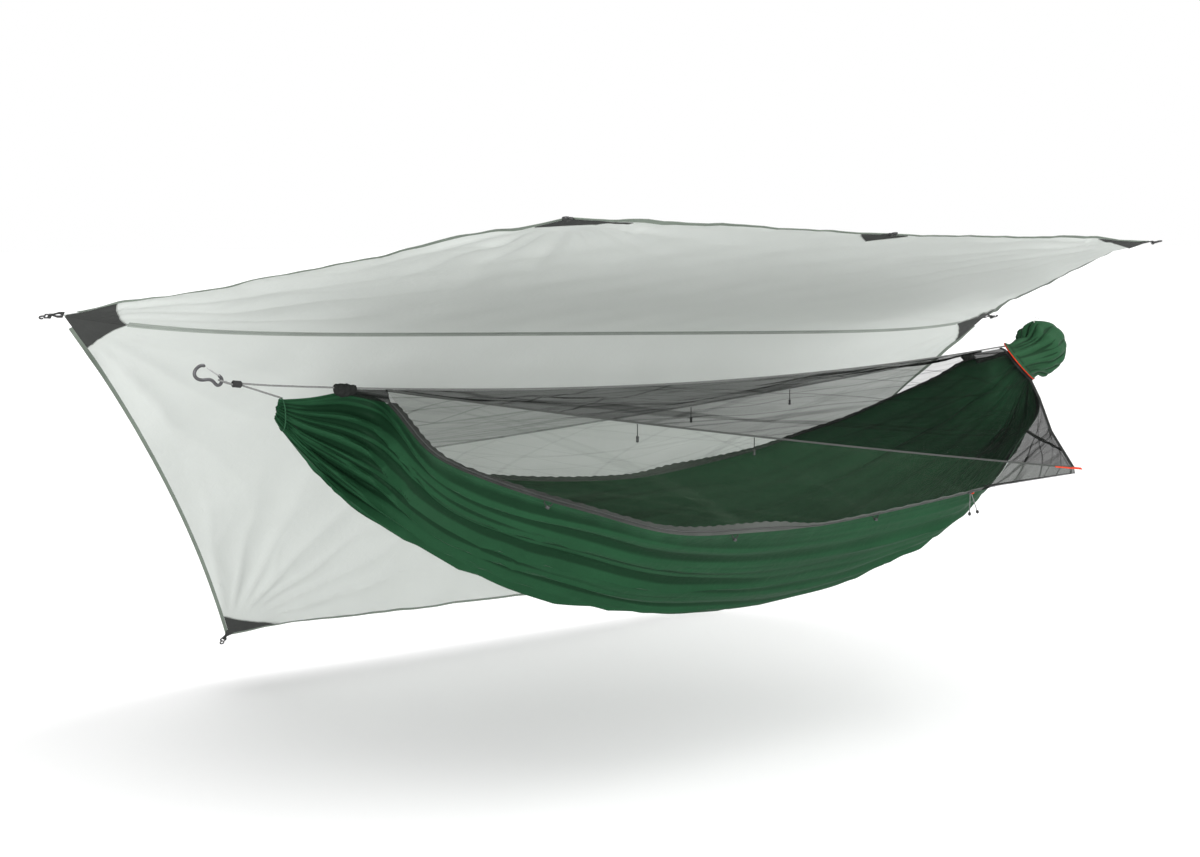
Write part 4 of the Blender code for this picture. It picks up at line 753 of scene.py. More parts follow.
class Look(Nodes):
    """A Principled material."""

    def __init__(self, name, colour, roughness, specular=0.5, metallic=0.0):
        self.made = bpy.data.materials.new(name)
        self.made.use_nodes = True
        super().__init__(self.made.node_tree)
        self.shader = self.tree.nodes["Principled BSDF"]
        self.colour, self.roughness = colour, roughness
        self.paint((*colour, 1))
        self.put(self.shader, "Roughness", roughness)
        self.put(self.shader, "Specular IOR Level", specular)
        self.put(self.shader, "Metallic", metallic)

    def places(self):
        return self.node("TexCoord").outputs["Object"]

    def uv(self):
        return self.node("UVMap", uv_map="weave").outputs["UV"]

    def parts(self, vector):
        split = self.node("SeparateXYZ", {"Vector": vector})
        return split.outputs["X"], split.outputs["Y"]

    def mapped(self, vector, **values):
        return self.node("Mapping", {"Vector": vector, **values}).outputs["Vector"]

    def noise(self, vector, scale, detail=3.0, roughness=0.5, distortion=0.0):
        values = {"Vector": vector, "Scale": scale, "Detail": detail}
        values.update({"Roughness": roughness, "Distortion": distortion})
        return self.node("TexNoise", values).outputs["Fac"]

    def bands(self, vector, pitch, way="X"):
        """Fine bands, one per pitch in metres."""
        values = {"Vector": vector, "Scale": TAU / 20 / pitch}
        return self.node("TexWave", values, bands_direction=way).outputs["Fac"]

    def away(self, value, middle):
        """How far the value is from the middle."""
        return self.math("ABSOLUTE", self.math("SUBTRACT", value, middle))

    def blend(self, share, first, second):
        made = self.node("Mix", {"Factor": share}, data_type="RGBA")
        self.put(made, 6, (*first, 1) if isinstance(first, tuple) else first)
        self.put(made, 7, (*second, 1) if isinstance(second, tuple) else second)
        return made.outputs[2]

    def shades(self, share, low, high):
        """The colour, from low to high times its brightness."""
        colours = [tuple(min(1.0, c * k) for c in self.colour) for k in (low, high)]
        return self.blend(share, *colours)

    def paint(self, colour):
        self.put(self.shader, "Base Color", colour)

    def painted(self):
        """The colour that the nodes give so far."""
        return self.shader.inputs["Base Color"].links[0].from_socket

    def roughen(self, value, low, high, smoother, rougher):
        """Roughness that follows the value, to those steps below and above its own."""
        ends = self.roughness - smoother, self.roughness + rougher
        self.put(self.shader, "Roughness", self.ramp(value, low, high, *ends))

    def end_with(self, shader):
        self.put(self.tree.nodes["Material Output"], "Surface", shader.outputs[0])

    def let_through(self, share, colour):
        """Thin cloth: that share of its light comes through from its other side."""
        glow = self.node("BsdfTranslucent", {"Color": (*colour, 1)})
        shaders = {0: share, 1: self.shader.outputs[0], 2: glow.outputs[0]}
        self.end_with(self.node("MixShader", shaders))

    def raise_by(self, *reliefs):
        """Bumps, each a height from 0 to 1 and its depth in metres."""
        normal = None
        for height, depth in reliefs:
            bump = self.node("Bump", {"Height": height, "Distance": depth, "Strength": 1.0})
            if normal:
                self.put(bump, "Normal", normal)
            normal = bump.outputs["Normal"]
        self.put(self.shader, "Normal", normal)


def cloth_look(name, colour, roughness, thread, crinkle, mottle=0.10, scale=9.0, specular=0.12):
    """Woven cloth: threads, small crinkles and slight unevenness of colour."""
    look = Look(name, colour, roughness, specular)
    places = look.places()
    patchy = look.noise(places, scale, 4.0, 0.6)
    look.paint(look.shades(look.ramp(patchy, 0.3, 0.7, 0.0, 1.0), 1 - mottle, 1 + mottle))
    look.roughen(patchy, 0.2, 0.8, 0.06, 0.06)
    reliefs = [(look.noise(places, 38.0, 5.0, 0.55, 0.6), crinkle)]
    if thread:
        uv = look.uv()
        weave = look.math("MAXIMUM", look.bands(uv, thread, "X"), look.bands(uv, thread, "Y"))
        reliefs.append((weave, thread * 0.12))
    look.raise_by(*reliefs)
    return look


def tarp_look():
    look = cloth_look("tarp_cloth", (0.570, 0.588, 0.572), 0.52, 0.0, 0.0014, 0.02, 3.0)
    look.let_through(0.36, (0.86, 0.885, 0.86))
    return look.made


def green_look(name, colour, hem):
    """Green nylon with painted shade in its fold valleys. With hem, the painted shade fades towards
    +X and a stitched line runs beside each long edge.
    """
    look = cloth_look(name, colour, 0.55, 0.0, 0.0024, 0.12, 5.0, 0.04)
    # Painted shade: fold valleys, found from the mesh's pointiness, are darkened towards a third of
    # the colour.
    bend = look.node("NewGeometry").outputs["Pointiness"]
    painted_valley_shade = look.ramp(bend, 0.490, 0.503, 0.75, 0.0)
    if hem:
        # The painted valley shade fades towards +X, the side where the light falls.
        along, _ = look.parts(look.places())
        painted_valley_shade = look.math("MULTIPLY", painted_valley_shade, look.ramp(along, -0.35, 0.35, 1.0, 0.22))
    look.paint(look.blend(painted_valley_shade, look.painted(), tuple(c * 0.35 for c in colour)))
    if hem:
        _, inwards = look.parts(look.uv())
        line = look.ramp(look.away(inwards, 0.021), 0.0006, 0.0018, 1.0, 0.0)
        share = look.math("MULTIPLY", line, 0.6)
        look.paint(look.blend(share, look.painted(), (0.010, 0.035, 0.018)))
    return look.made


def plain_cloth(name, colour, roughness):
    return cloth_look(name, colour, roughness, thread=0.0007, crinkle=0.0006).made


def net_look(name, cover, far_cover, crease, run=(0.2, 2.0), colour=(0.010, 0.011, 0.010)):
    """Fine netting seen as a veil, denser along its creases and where it gathers."""
    look = Look(name, colour, 0.85, 0.05)
    uv = look.uv()
    along, _ = look.parts(uv)
    share = look.ramp(along, *run, cover, far_cover)
    soft = look.noise(look.mapped(uv, Scale=(0.7, 5.0, 1.0)), 3.0, 3.0, 0.6, 0.8)
    share = look.math("ADD", share, look.ramp(soft, 0.45, 0.70, 0.0, crease * 0.5))
    for turn, across, seed in ((0.04, 12.0, 0.0), (-0.30, 7.0, 3.0), (0.34, 6.0, 7.0)):
        moved = look.mapped(uv, Rotation=(0.0, 0.0, turn), Location=(seed, seed, 0.0))
        wave = look.noise(look.mapped(moved, Scale=(0.16, across, 1.0)), 1.0, 0.0, 0.4)
        line = look.ramp(look.away(wave, 0.5), 0.002, 0.016, crease, 0.0)
        share = look.math("ADD", share, line)
    fine = look.noise(uv, 160.0, 2.0)
    share = look.math("ADD", share, look.math("MULTIPLY", fine, 0.03), True)
    look.put(look.shader, "Alpha", share)
    look.raise_by((soft, 0.0010))
    return look.made


def tape_look():
    """Zipper tape with lengthwise ribs, and a painted sheen that makes it paler towards the slider.
    """
    look = Look("zip_tape", (0.021, 0.023, 0.021), 0.7, 0.15)
    uv = look.uv()
    ribs = look.bands(uv, 0.0022, "Y")
    cross = look.bands(uv, 0.0011, "X")
    uneven = look.noise(look.places(), 14.0, 4.0, 0.6)
    along, _ = look.parts(uv)
    # Painted sheen: the tape grows paler along its length towards the slider; its pale rib lines
    # are the ribbed weave, partly brightened as painted sheen.
    wear_and_painted_sheen = look.ramp(along, 0.5, 1.5, 0.0, 0.9)
    share = look.math("ADD", look.math("MULTIPLY", ribs, uneven), wear_and_painted_sheen, True)
    look.paint(look.shades(share, 0.6, 4.2))
    look.raise_by((ribs, 0.0004), (cross, 0.00012))
    return look.made


def cord_look(name, colour):
    look = Look(name, colour, 0.8, 0.15)
    fleck = look.noise(look.places(), 900.0, 2.0)
    look.paint(look.shades(look.ramp(fleck, 0.35, 0.65, 0.0, 1.0), 0.70, 1.30))
    look.raise_by((fleck, 0.00025))
    return look.made


def web_look(name, colour):
    """Webbing: slanted ribs across a dense weave."""
    look = Look(name, colour, 0.75, 0.15)
    ribs = look.bands(look.mapped(look.uv(), Rotation=(0.0, 0.0, 0.6)), 0.0016, "X")
    fleck = look.noise(look.places(), 220.0, 3.0)
    look.paint(look.shades(look.math("MULTIPLY", ribs, fleck), 0.7, 1.5))
    look.raise_by((ribs, 0.0003), (fleck, 0.0002))
    return look.made


def moulded_look(name, colour, roughness):
    look = Look(name, colour, roughness)
    grain = look.noise(look.places(), 420.0, 4.0, 0.6)
    look.paint(look.shades(look.noise(look.places(), 60.0, 3.0), 0.8, 1.5))
    look.roughen(grain, 0.3, 0.7, 0.08, 0.10)
    look.raise_by((grain, 0.00008))
    return look.made


def metal_look(name, colour, roughness):
    look = Look(name, colour, roughness, metallic=1.0)
    grain = look.noise(look.mapped(look.places(), Scale=(1.0, 1.0, 0.15)), 700.0, 3.0)
    wear_and_painted_sheen = look.noise(look.places(), 90.0, 4.0, 0.65)
    look.paint(look.shades(look.ramp(wear_and_painted_sheen, 0.35, 0.65, 0.0, 1.0), 0.85, 1.15))
    look.roughen(grain, 0.3, 0.7, 0.05, 0.10)
    look.raise_by((grain, 0.00003))
    return look.made


TARP = tarp_look()
GREEN = green_look("green_cloth", (0.0140, 0.0560, 0.0250), True)
SACK_GREEN = green_look("sack_cloth", (0.0190, 0.0640, 0.0295), False)
DARK = plain_cloth("dark_cloth", (0.045, 0.047, 0.045), 0.80)
BINDING = plain_cloth("binding_cloth", (0.165, 0.195, 0.165), 0.75)
SEAM_TAPE = plain_cloth("seam_tape", (0.290, 0.320, 0.290), 0.55)
PIPING = plain_cloth("patch_piping", (0.36, 0.38, 0.36), 0.70)
NET_SIDE = net_look("net_side", 0.12, 0.14, 0.08, (0.05, 0.45), (0.058, 0.086, 0.060))
NET_ROOF = net_look("net_roof", 0.60, 0.26, 0.20)
NET_DOUBLE = net_look("net_double", 0.77, 0.77, 0.14)
NET_BUNCHED = net_look("net_bunched", 0.78, 0.78, 0.20)
NET_SEAM = plain_cloth("net_seam", (0.060, 0.064, 0.060), 0.75)
BLACK_MESH = plain_cloth("black_mesh", (0.013, 0.014, 0.013), 0.75)
ZIP = tape_look()
COIL = moulded_look("zip_coil", (0.030, 0.031, 0.030), 0.42)
GREY_CORD = cord_look("grey_cord", (0.175, 0.180, 0.175))
DARK_CORD = cord_look("dark_cord", (0.030, 0.030, 0.030))
WHITE_CORD = cord_look("white_cord", (0.72, 0.72, 0.69))
GREEN_CORD = cord_look("green_cord", (0.018, 0.066, 0.032))
RED = web_look("red_web", (0.76, 0.060, 0.022))
WEB = web_look("dark_web", (0.050, 0.052, 0.050))
PLASTIC = moulded_look("hook_plastic", (0.022, 0.022, 0.023), 0.40)
METAL = metal_look("grey_metal", (0.100, 0.100, 0.104), 0.36)
WIRE = metal_look("bright_wire", (0.42, 0.42, 0.42), 0.30)


# ---- camera, light and floor ----


def build_camera():
    made = bpy.data.objects.new("camera", bpy.data.cameras.new("camera"))
    made.data.lens = CAMERA_LENS
    made.location = CAMERA_PLACE
    made.rotation_euler = (math.radians(CAMERA_PITCH_DEG), 0.0, math.radians(CAMERA_TURN_DEG))
    bpy.context.collection.objects.link(made)
    bpy.context.scene.camera = made


def build_world():
    world = bpy.data.worlds.new("studio")
    bpy.context.scene.world = world
    world.use_nodes = True
    sky = Nodes(world.node_tree)
    background = sky.tree.nodes["Background"]
    sky.put(background, "Color", (1, 1, 1, 1))
    sky.put(background, "Strength", sky.ramp(sky.shown_share(), 0.0, 1.0, AMBIENT, 1.0))


def build_floor():
    """A pale floor whose own brightness keeps it white, with the shadow still on it."""
    look = Look("floor", (FLOOR_WHITE,) * 3, 0.9, 0.0)
    lit = look.ramp(look.shown_share(), 0.0, 1.0, FLOOR_BOUNCE, FLOOR_GLOW)
    glow = look.node("Emission", {"Color": (1, 1, 1, 1), "Strength": lit})
    look.end_with(look.node("AddShader", {0: look.shader.outputs[0], 1: glow.outputs[0]}))
    half = FLOOR_HALF
    corners = [(-half, -half), (half, -half), (half, half), (-half, half)]
    points = [(a, b, FLOOR_Z) for a, b in corners]
    add("floor", points, [[0, 1, 2, 3]], look.made, outwards=False)


def sun(name, strength, width_deg, elevation_deg, azimuth_deg):
    """A soft lamp from that height and side; azimuth runs from -Y towards +X."""
    lamp = bpy.data.lights.new(name, "SUN")
    lamp.energy = strength
    lamp.angle = math.radians(width_deg)
    made = bpy.data.objects.new(name, lamp)
    made.rotation_euler = (math.radians(90 - elevation_deg), 0.0, math.radians(azimuth_deg))
    bpy.context.collection.objects.link(made)


# ---- tarp ----


def edge_curve(start, end, bow_share):
    start, end = np.array(start), np.array(end)
    run = end - start
    inwards = np.array([-run[1], run[0]])
    if inwards.dot(np.array([0, TARP_WIDTH / 2]) - (start + end) / 2) < 0:
        inwards = -inwards

    def at(share):
        share = np.asarray(share, float)[..., None]
        return start + run * share + inwards * (4 * share * (1 - share) * bow_share)

    return at


CORNERS = {
    "ridge_left": (-TARP_RIDGE / 2, RIDGE_START_S),
    "ridge_right": (TARP_RIDGE / 2, RIDGE_START_S),
    "left": (-TARP_SIDE / 2, TARP_WIDTH),
    "right": (TARP_SIDE / 2, TARP_WIDTH),
}
EDGES = {
    "left": edge_curve(CORNERS["ridge_left"], CORNERS["left"], EDGE_CURVE_SHARES["left"]),
    "hem": edge_curve(CORNERS["left"], CORNERS["right"], EDGE_CURVE_SHARES["hem"]),
    "right": edge_curve(CORNERS["right"], CORNERS["ridge_right"], EDGE_CURVE_SHARES["right"]),
}


def edge_length(name):
    places = EDGES[name](np.linspace(0, 1, 60))
    return np.linalg.norm(np.diff(places, axis=0), axis=1).sum()


def on_edge(name, distance):
    """A place on an edge, so far from its start, or from its end if negative."""
    share = np.asarray(distance, float) / edge_length(name)
    return EDGES[name](np.where(share >= 0, share, 1 + share))


def panel_place(u, v):
    u, v = np.asarray(u, float), np.asarray(v, float)
    hem, left, right = EDGES["hem"](u), EDGES["left"](v), EDGES["right"](1 - v)
    u, v = u[..., None], v[..., None]
    ridge = np.array(CORNERS["ridge_left"]) * (1 - u) + np.array(CORNERS["ridge_right"]) * u
    low = np.array(CORNERS["left"]) * (1 - u) + np.array(CORNERS["right"]) * u
    corners = (1 - v) * ridge + v * low
    return (1 - v) * ridge + v * hem + (1 - u) * left + u * right - corners


def panel_shares(x, s):
    """The shares u and v of a place on the panel, found step by step."""
    v = s / TARP_WIDTH
    u = 0.5 + x / (TARP_RIDGE * (1 - v) + TARP_SIDE * v)
    for _ in range(8):
        there = panel_place(u, v)
        u = u + (x - there[..., 0]) / (TARP_RIDGE * (1 - v) + TARP_SIDE * v)
        v = v + (s - there[..., 1]) / TARP_WIDTH
    return u, v


TILT = math.radians(TARP_TILT_DEG)
RIDGE_ALONG = np.array((math.cos(TILT), 0, -math.sin(TILT)))
RIDGE_UP = np.array((math.sin(TILT), 0, math.cos(TILT)))


class Fly:
    """One side of the tarp: x runs along the ridge, s down the cloth, n outwards."""

    def __init__(self, label, angle_deg, back, seed):
        angle = math.radians(angle_deg)
        self.label, self.body, self.back, self.seed = label, label + "_fly", back, seed
        side = SIDEWAYS if back else -SIDEWAYS
        rise = -math.sin(angle) if back else math.sin(angle)
        self.down = side * math.cos(angle) + RIDGE_UP * rise
        self.out = RIDGE_UP * math.cos(angle) - side * rise

    def vector(self, x, s):
        return RIDGE_ALONG * x + self.down * s

    def wrinkles(self, x, s, u, v):
        """Folds that fan out from the pulled corners, slack waves, and ripples at the edges."""
        rise = SLACK_HEIGHT * waves(x, s, *SLACK_WAVES, self.seed)
        hold = smooth_step(np.hypot(x, s - TARP_WIDTH + 0.03) / HELD_RADIUS)
        for number, (name, corner) in enumerate(CORNERS.items()):
            dx, ds = x - corner[0], s - corner[1]
            r, angle = np.hypot(dx, ds), np.arctan2(ds, dx)
            reach = FAN_REACH["ridge" if "ridge" in name else "hem"]
            fade = smooth_step((r - FAN_START) / FAN_RISE) * bell(r, reach)
            wander = 0.5 * waves(x, s, *WANDER_WAVES, self.seed + number + 1)
            for height, count, way in FANS:
                fan = folds(angle * count + way * (wander + number), FAN_SHARPNESS)
                rise = rise + height * fade * fan
            hold = hold * smooth_step(r / HELD_RADIUS)
        free = np.minimum(np.minimum(u, 1 - u) * TARP_RIDGE, (1 - v) * TARP_WIDTH)
        ripple = waves(x + s, x - s, *RIPPLE_WAVES, self.seed + 9)
        rise = rise + RIPPLE_HEIGHT * ripple * np.exp(-np.maximum(free, 0) / RIPPLE_REACH)
        return rise * hold * smooth_step(s / RIDGE_HELD)

    def place(self, x, s, n=0.0):
        x, s = np.asarray(x, float), np.asarray(s, float)
        u, v = panel_shares(x, s)
        rise = self.wrinkles(x, s, u, v) + n
        across = 1 - np.abs(2 * np.clip(u, 0, 1) - 1) ** RIDGE_SAG_POWER
        sag = across * np.maximum(0.0, 1 - np.maximum(v, 0) / TARP_FLAT_SHARE) ** 2
        x, s, rise, sag = (q[..., None] for q in (x, s, rise, sag))
        return RIDGE_PLACE + self.vector(x, s) + self.out * rise + RIDGE_SAG * sag

    def on(self, flat, n=0.0):
        return self.place(flat[..., 0], flat[..., 1], n)

    def hung(self, piece, slot, *nodes):
        """The piece's place is baked into its mesh, and the solids it stands for are hidden."""
        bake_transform(piece)
        return marked(piece, slot, *nodes)


def build_panel(fly):
    flat = panel_place(*np.meshgrid(*(np.linspace(0, 1, count) for count in PANEL_STEPS)))
    panel = shell(f"tarp_{fly.label}_cloth", fly.on(flat), TARP_THICK, TARP, flat)
    return fly.hung(panel, "tarp_cloth", f"tarp_{fly.label}_panel")


def build_binding(fly):
    """The folded strip round the three free edges, just outside the cloth."""
    first = BINDING_SETBACK / edge_length("left")
    last = 1 - BINDING_SETBACK / edge_length("right")
    left = EDGES["left"](np.linspace(first, 1, 70))
    hem = EDGES["hem"](np.linspace(0, 1, 90))[1:]
    right = EDGES["right"](np.linspace(0, last, 70))[1:]
    line = np.concatenate([left, hem, right])
    step = unit(np.diff(line, axis=0))
    out = np.stack([-step[:, 1], step[:, 0]], axis=1)
    out *= -1 if out[0][0] > 0 else 1
    mitre = np.concatenate([out[:1], out]) + np.concatenate([out, out[-1:]])
    mitre *= 2 / (mitre * mitre).sum(axis=1, keepdims=True)
    rows = []
    for width in np.linspace(0, 1, 5):
        spot = line + mitre * (BINDING_GAP + BINDING_WIDTH * width)
        rows.append(fly.on(spot, BINDING_BULGE * hump(width)))
    piece = shell(f"{fly.label}_edge_binding", rows, BINDING_THICK, BINDING)
    return fly.hung(piece, "binding_cloth", f"tarp_{fly.label}_binding")


def below(extra):
    """How far under the tarp's middle a layer of that thickness lies."""
    return -(TARP_THICK / 2 + PATCH_GAP + extra / 2)


def piping_on(name, rim):
    return tube(name + "_piping", rim, PIPING_RADIUS, PIPING, 8)


def patch_sheet(fly, name, first, second, tip, wave):
    """A corner patch, given by its two sides as functions of the share from the tip out."""
    r, a = np.meshgrid(np.linspace(PATCH_START, 1, 26), np.linspace(0, 1, 26), indexing="ij")
    sides = first(r) * (1 - a)[..., None] + second(r) * a[..., None]
    bow = 1 - (PATCH_BOW + wave * np.sin(a * TAU * 1.5)) * 4 * a * (1 - a) * r
    flat = tip + (sides - tip) * bow[..., None]
    piece = shell(name, fly.on(flat, below(PATCH_THICK)), PATCH_THICK, DARK)
    return piece, piping_on(name, fly.on(flat[-1], below(PATCH_THICK) - PATCH_THICK / 2))


def build_ridge_patch(fly, end):
    """Half of a ridge-end patch: from the tip along the ridge, and down the side edge."""
    sign = -1 if end == "left" else 1
    tip = np.array((sign * TARP_RIDGE / 2, RIDGE_START_S))
    reach = RIDGE_PATCH_REACH[fly.label]

    def along_ridge(r):
        return tip + np.stack([-sign * RIDGE_PATCH_ALONG * r, 0 * r], axis=-1)

    def down_side(r):
        return on_edge(end, -sign * reach * r)

    name = f"ridge_patch_cloth_{end}_{fly.label}"
    piece, piping = patch_sheet(fly, name, along_ridge, down_side, tip, 0.012)
    fly.hung(piece, "dark_cloth", f"ridge_patch_{end}_{fly.label}")
    return [piece, fly.hung(piping, "dark_cloth")]


def hem_sides(where):
    """A hem corner's two sides, as functions of the share from the tip out."""
    turn = 1 if where == "left" else -1
    return (
        lambda r: on_edge(where, -turn * HEM_PATCH_SIDE * r),
        lambda r: on_edge("hem", turn * HEM_PATCH_ALONG * r),
    )


def build_hem_patch(fly, where):
    """A hem corner's patch, or the half-round one at the middle of the hem."""
    name = f"hem_patch_{fly.label}_{where}"
    if where == "middle":
        c, b = np.meshgrid(np.linspace(-1, 1, 31), np.linspace(0, 1, 16))
        flat = EDGES["hem"](0.5 + c * MIDDLE_PATCH_HALF / edge_length("hem"))
        flat[..., 1] -= b * (MIDDLE_PATCH_DEPTH * (1 - np.abs(c)) ** 0.9 + 0.002)
        grid = fly.on(flat, below(PATCH_THICK))
        piece = shell(name, grid, PATCH_THICK, DARK)
        piping = piping_on(name, grid[-1] - fly.out * PATCH_THICK / 2)
    else:
        piece, piping = patch_sheet(fly, name, *hem_sides(where), np.array(CORNERS[where]), 0.014)
    return [carried(made, fly.body, "dark_cloth") for made in (piece, piping)]


def strap_grid(eyelet):
    """The strap's strip: a wide plate that narrows to a tongue and curls round the bar."""
    e, w, t = EYELET_PLATE_HALF, EYELET_PLATE_WIDE / 2, TONGUE_WIDE / 2
    start = e if eyelet else -e
    across = np.linspace(-1, 1, 9)
    rows = []
    for along in np.linspace(start, e + TONGUE_LENGTH, 6 if eyelet else 18):
        wide = np.interp(along, (0, e), (w, t))
        rows.append([(along, wide * c, 0.0) for c in across])
    for angle in np.radians(np.linspace(0, CURL_TURN_DEG, 30))[1:]:
        ahead = e + TONGUE_LENGTH + CURL_RADIUS * math.sin(angle)
        rows.append([(ahead, t * c, CURL_RADIUS * (math.cos(angle) - 1)) for c in across])
    return np.array(rows)


def eyelet_ring(angle):
    long, wide = EYELET_LONG / 2, EYELET_WIDE / 2
    return np.stack([long * np.cos(angle), wide * np.sin(angle), 0 * angle], axis=1)


def eyelet_grid():
    """The plate round its oval eyelet, as rings from the rim of the hole to the outline."""
    e, w, t = EYELET_PLATE_HALF, EYELET_PLATE_WIDE / 2, TONGUE_WIDE / 2
    ring = [(-e, -w), (-e, 0), (-e, w), (0, w), (e, t), (e, 0), (e, -t), (0, -w)]
    outer = evenly([(a, b, 0.0) for a, b in ring], 0.0014, closed=True)
    hole = eyelet_ring(np.arctan2(outer[:, 1] / w, outer[:, 0] / e))
    grid = np.array([hole + (outer - hole) * share for share in np.linspace(0, 1, 6)])
    return np.concatenate([grid, grid[:, :1]], axis=1)


def strap_axes(place, along, across):
    up = np.cross(along, across)
    turn = np.stack([along, across, up], axis=1)
    return lambda p: place + np.asarray(p, float) @ turn.T


def build_strap(label, to_world, body, eyelet, node):
    name = f"strap_tail_{label}"
    pieces = [shell(name, to_world(strap_grid(eyelet)), PATCH_THICK, WEB)]
    if eyelet:
        pieces.append(shell(name + "_plate", to_world(eyelet_grid()), PATCH_THICK, WEB, weld=True))
    strap = carried(joined(name, pieces), body, "dark_cloth", node)
    if eyelet:
        rim = to_world(eyelet_ring(round_about(48)))
        ring = tube(f"eyelet_rim_{label}", rim, EYELET_RIM, METAL, 10, closed=True)
        carried(ring, body, "dark_cloth")
    return strap


def arc_line(centre, radius, start, end, steps):
    angle = np.radians(np.linspace(start, end, steps))
    return [(centre[0] + radius * math.sin(a), centre[1] + radius * math.cos(a)) for a in angle]


def hook_outlines():
    """The hook's outline and its window, in (along, across) from the strap's bar."""
    inner, rail, bar = HOOK_INNER, HOOK_RAIL, HOOK_BAR / 2
    far = bar + HOOK_WINDOW + HOOK_RAIL
    outer, stem = inner + rail, HOOK_STEM / 2
    front = far + HOOK_STEM_LENGTH
    cut, neck = HOOK_ROUND_OFF, HOOK_NECK
    line = [(-bar, -outer + cut), (-bar + cut, -outer), (far - cut, -outer)]
    line += [(far, -outer + cut), (far, -stem - neck[1]), (far + neck[0], -stem)]
    bend = HOOK_BEND_DEG
    inside = arc_line((front, -HOOK_BEND), HOOK_BEND - stem, 0, bend, 26)
    outside = arc_line((front, -HOOK_BEND), HOOK_BEND + stem * 0.9, bend, 0, 26)
    tip = arc_line((front, -HOOK_BEND), HOOK_BEND, bend + HOOK_TIP_DEG, bend + HOOK_TIP_DEG, 1)
    line += inside + tip + outside
    line += [(far + neck[0], stem), (far, stem + neck[1]), (far, outer - cut)]
    line += [(far - cut, outer), (-bar + cut, outer), (-bar, outer - cut)]
    a, b, c = bar, bar + HOOK_WINDOW, HOOK_WINDOW_CORNER
    window = [(a, -inner + c), (a + c, -inner), (b - c, -inner), (b, -inner + c)]
    window += [(b, inner - c), (b - c, inner), (a + c, inner), (a, inner - c)]
    return [line, window]


def build_hook(label, to_world):
    """The moulded hook, which turns on the strap's curl."""
    pivot = np.array((EYELET_PLATE_HALF + TONGUE_LENGTH, 0.0, -CURL_RADIUS))
    name = f"hook_{label}"

    def placed(p):
        return to_world(pivot + np.array(p))

    drawn = plate(name + "_moulded", hook_outlines(), HOOK_THICK, placed, PLASTIC, HOOK_BEVEL)
    return carried(drawn, name + "_body", "hook_plastic", name)


def build_hem_corner(fly, where):
    if where == "middle":
        corner, outwards = EDGES["hem"](0.5), np.array((0.0, 1.0))
    else:
        corner = np.array(CORNERS[where])
        side, along = (way(1.0) for way in hem_sides(where))
        outwards = -unit(unit(side - corner) + unit(along - corner))
    along, across = fly.vector(*outwards), fly.vector(-outwards[1], outwards[0])
    if np.cross(along, across).dot(fly.out) < 0:
        across = -across
    place = RIDGE_PLACE + fly.vector(*corner) + fly.out * below(PATCH_THICK)
    to_world = strap_axes(place, along, across)
    label = f"{fly.label}_{where}"
    strap = build_strap(label, to_world, fly.body, False, f"tarp_patch_{label}")
    build_hook(label, to_world)
    return [*build_hem_patch(fly, where), strap]


def build_ridge_strap(end):
    along = RIDGE_ALONG * (-1 if end == "left" else 1)
    roll = math.radians(STRAP_ROLL_DEG)
    across = np.cross(RIDGE_UP * math.cos(roll) + SIDEWAYS * math.sin(roll), along)
    place = RIDGE_PLACE + along * (TARP_RIDGE / 2 + EYELET_PLATE_HALF + PATCH_GAP)
    to_world = strap_axes(place, along, across)
    build_strap(f"ridge_{end}", to_world, "tarp_ridge", True, f"ridge_strap_{end}")
    build_hook(f"ridge_{end}", to_world)


def build_ridge_seam(fly):
    """The rolled seam on the ridge, and the tape under it on that side."""
    half = TARP_RIDGE / 2
    if not fly.back:
        bead = fly.place(np.linspace(-half, half, 160), np.zeros(160))
        seam = tube("ridge_seam_roll", bead, SEAM_BEAD, SEAM_TAPE, 10)
        carried(seam, "tarp_ridge", "tape_cloth", "ridge_seam")
    inside = half - RIDGE_PATCH_ALONG - PATCH_GAP
    low = -(TARP_THICK / 2 + SEAM_TAPE_GAP + SEAM_TAPE_THICK / 2)
    down = RIDGE_START_S + SEAM_TAPE_GAP + np.linspace(0, SEAM_TAPE_WIDTH[fly.label], 6)
    x, s = np.meshgrid(np.linspace(-inside, inside, 200), down)
    tape = shell(f"seam_tape_{fly.label}", fly.place(x, s, low), SEAM_TAPE_THICK, SEAM_TAPE)
    return fly.hung(tape, "tape_cloth", *([] if fly.back else ["ridge_seam_tape"]))


def build_tarp():
    front = Fly("front", FRONT_RISE_DEG, False, 11)
    back = Fly("back", BACK_DROP_DEG, True, 31)
    for end in ("left", "right"):
        build_ridge_strap(end)
    for fly in (front, back):
        panel = build_panel(fly)
        on_it = [build_binding(fly)]
        for end in ("left", "right"):
            on_it += build_ridge_patch(fly, end)
        for where in ("left", "right") if fly.back else ("left", "middle", "right"):
            on_it += build_hem_corner(fly, where)
        on_it.append(build_ridge_seam(fly))


# ---- hammock cloth ----


def half_turn(place):
    return np.asarray(place) * (-1.0, -1.0, 1.0)


def arc_through(a, b, c):
    a, b, c = np.array(a), np.array(b), np.array(c)
    ab, ac = b - a, c - a
    axis = unit(np.cross(ab, ac))
    across = np.cross(axis, ab)
    reach = (ac.dot(ac) - ac.dot(ab)) / (2 * ac.dot(across))
    centre = a + ab / 2 + across * reach
    return centre, axis, np.linalg.norm(a - centre)


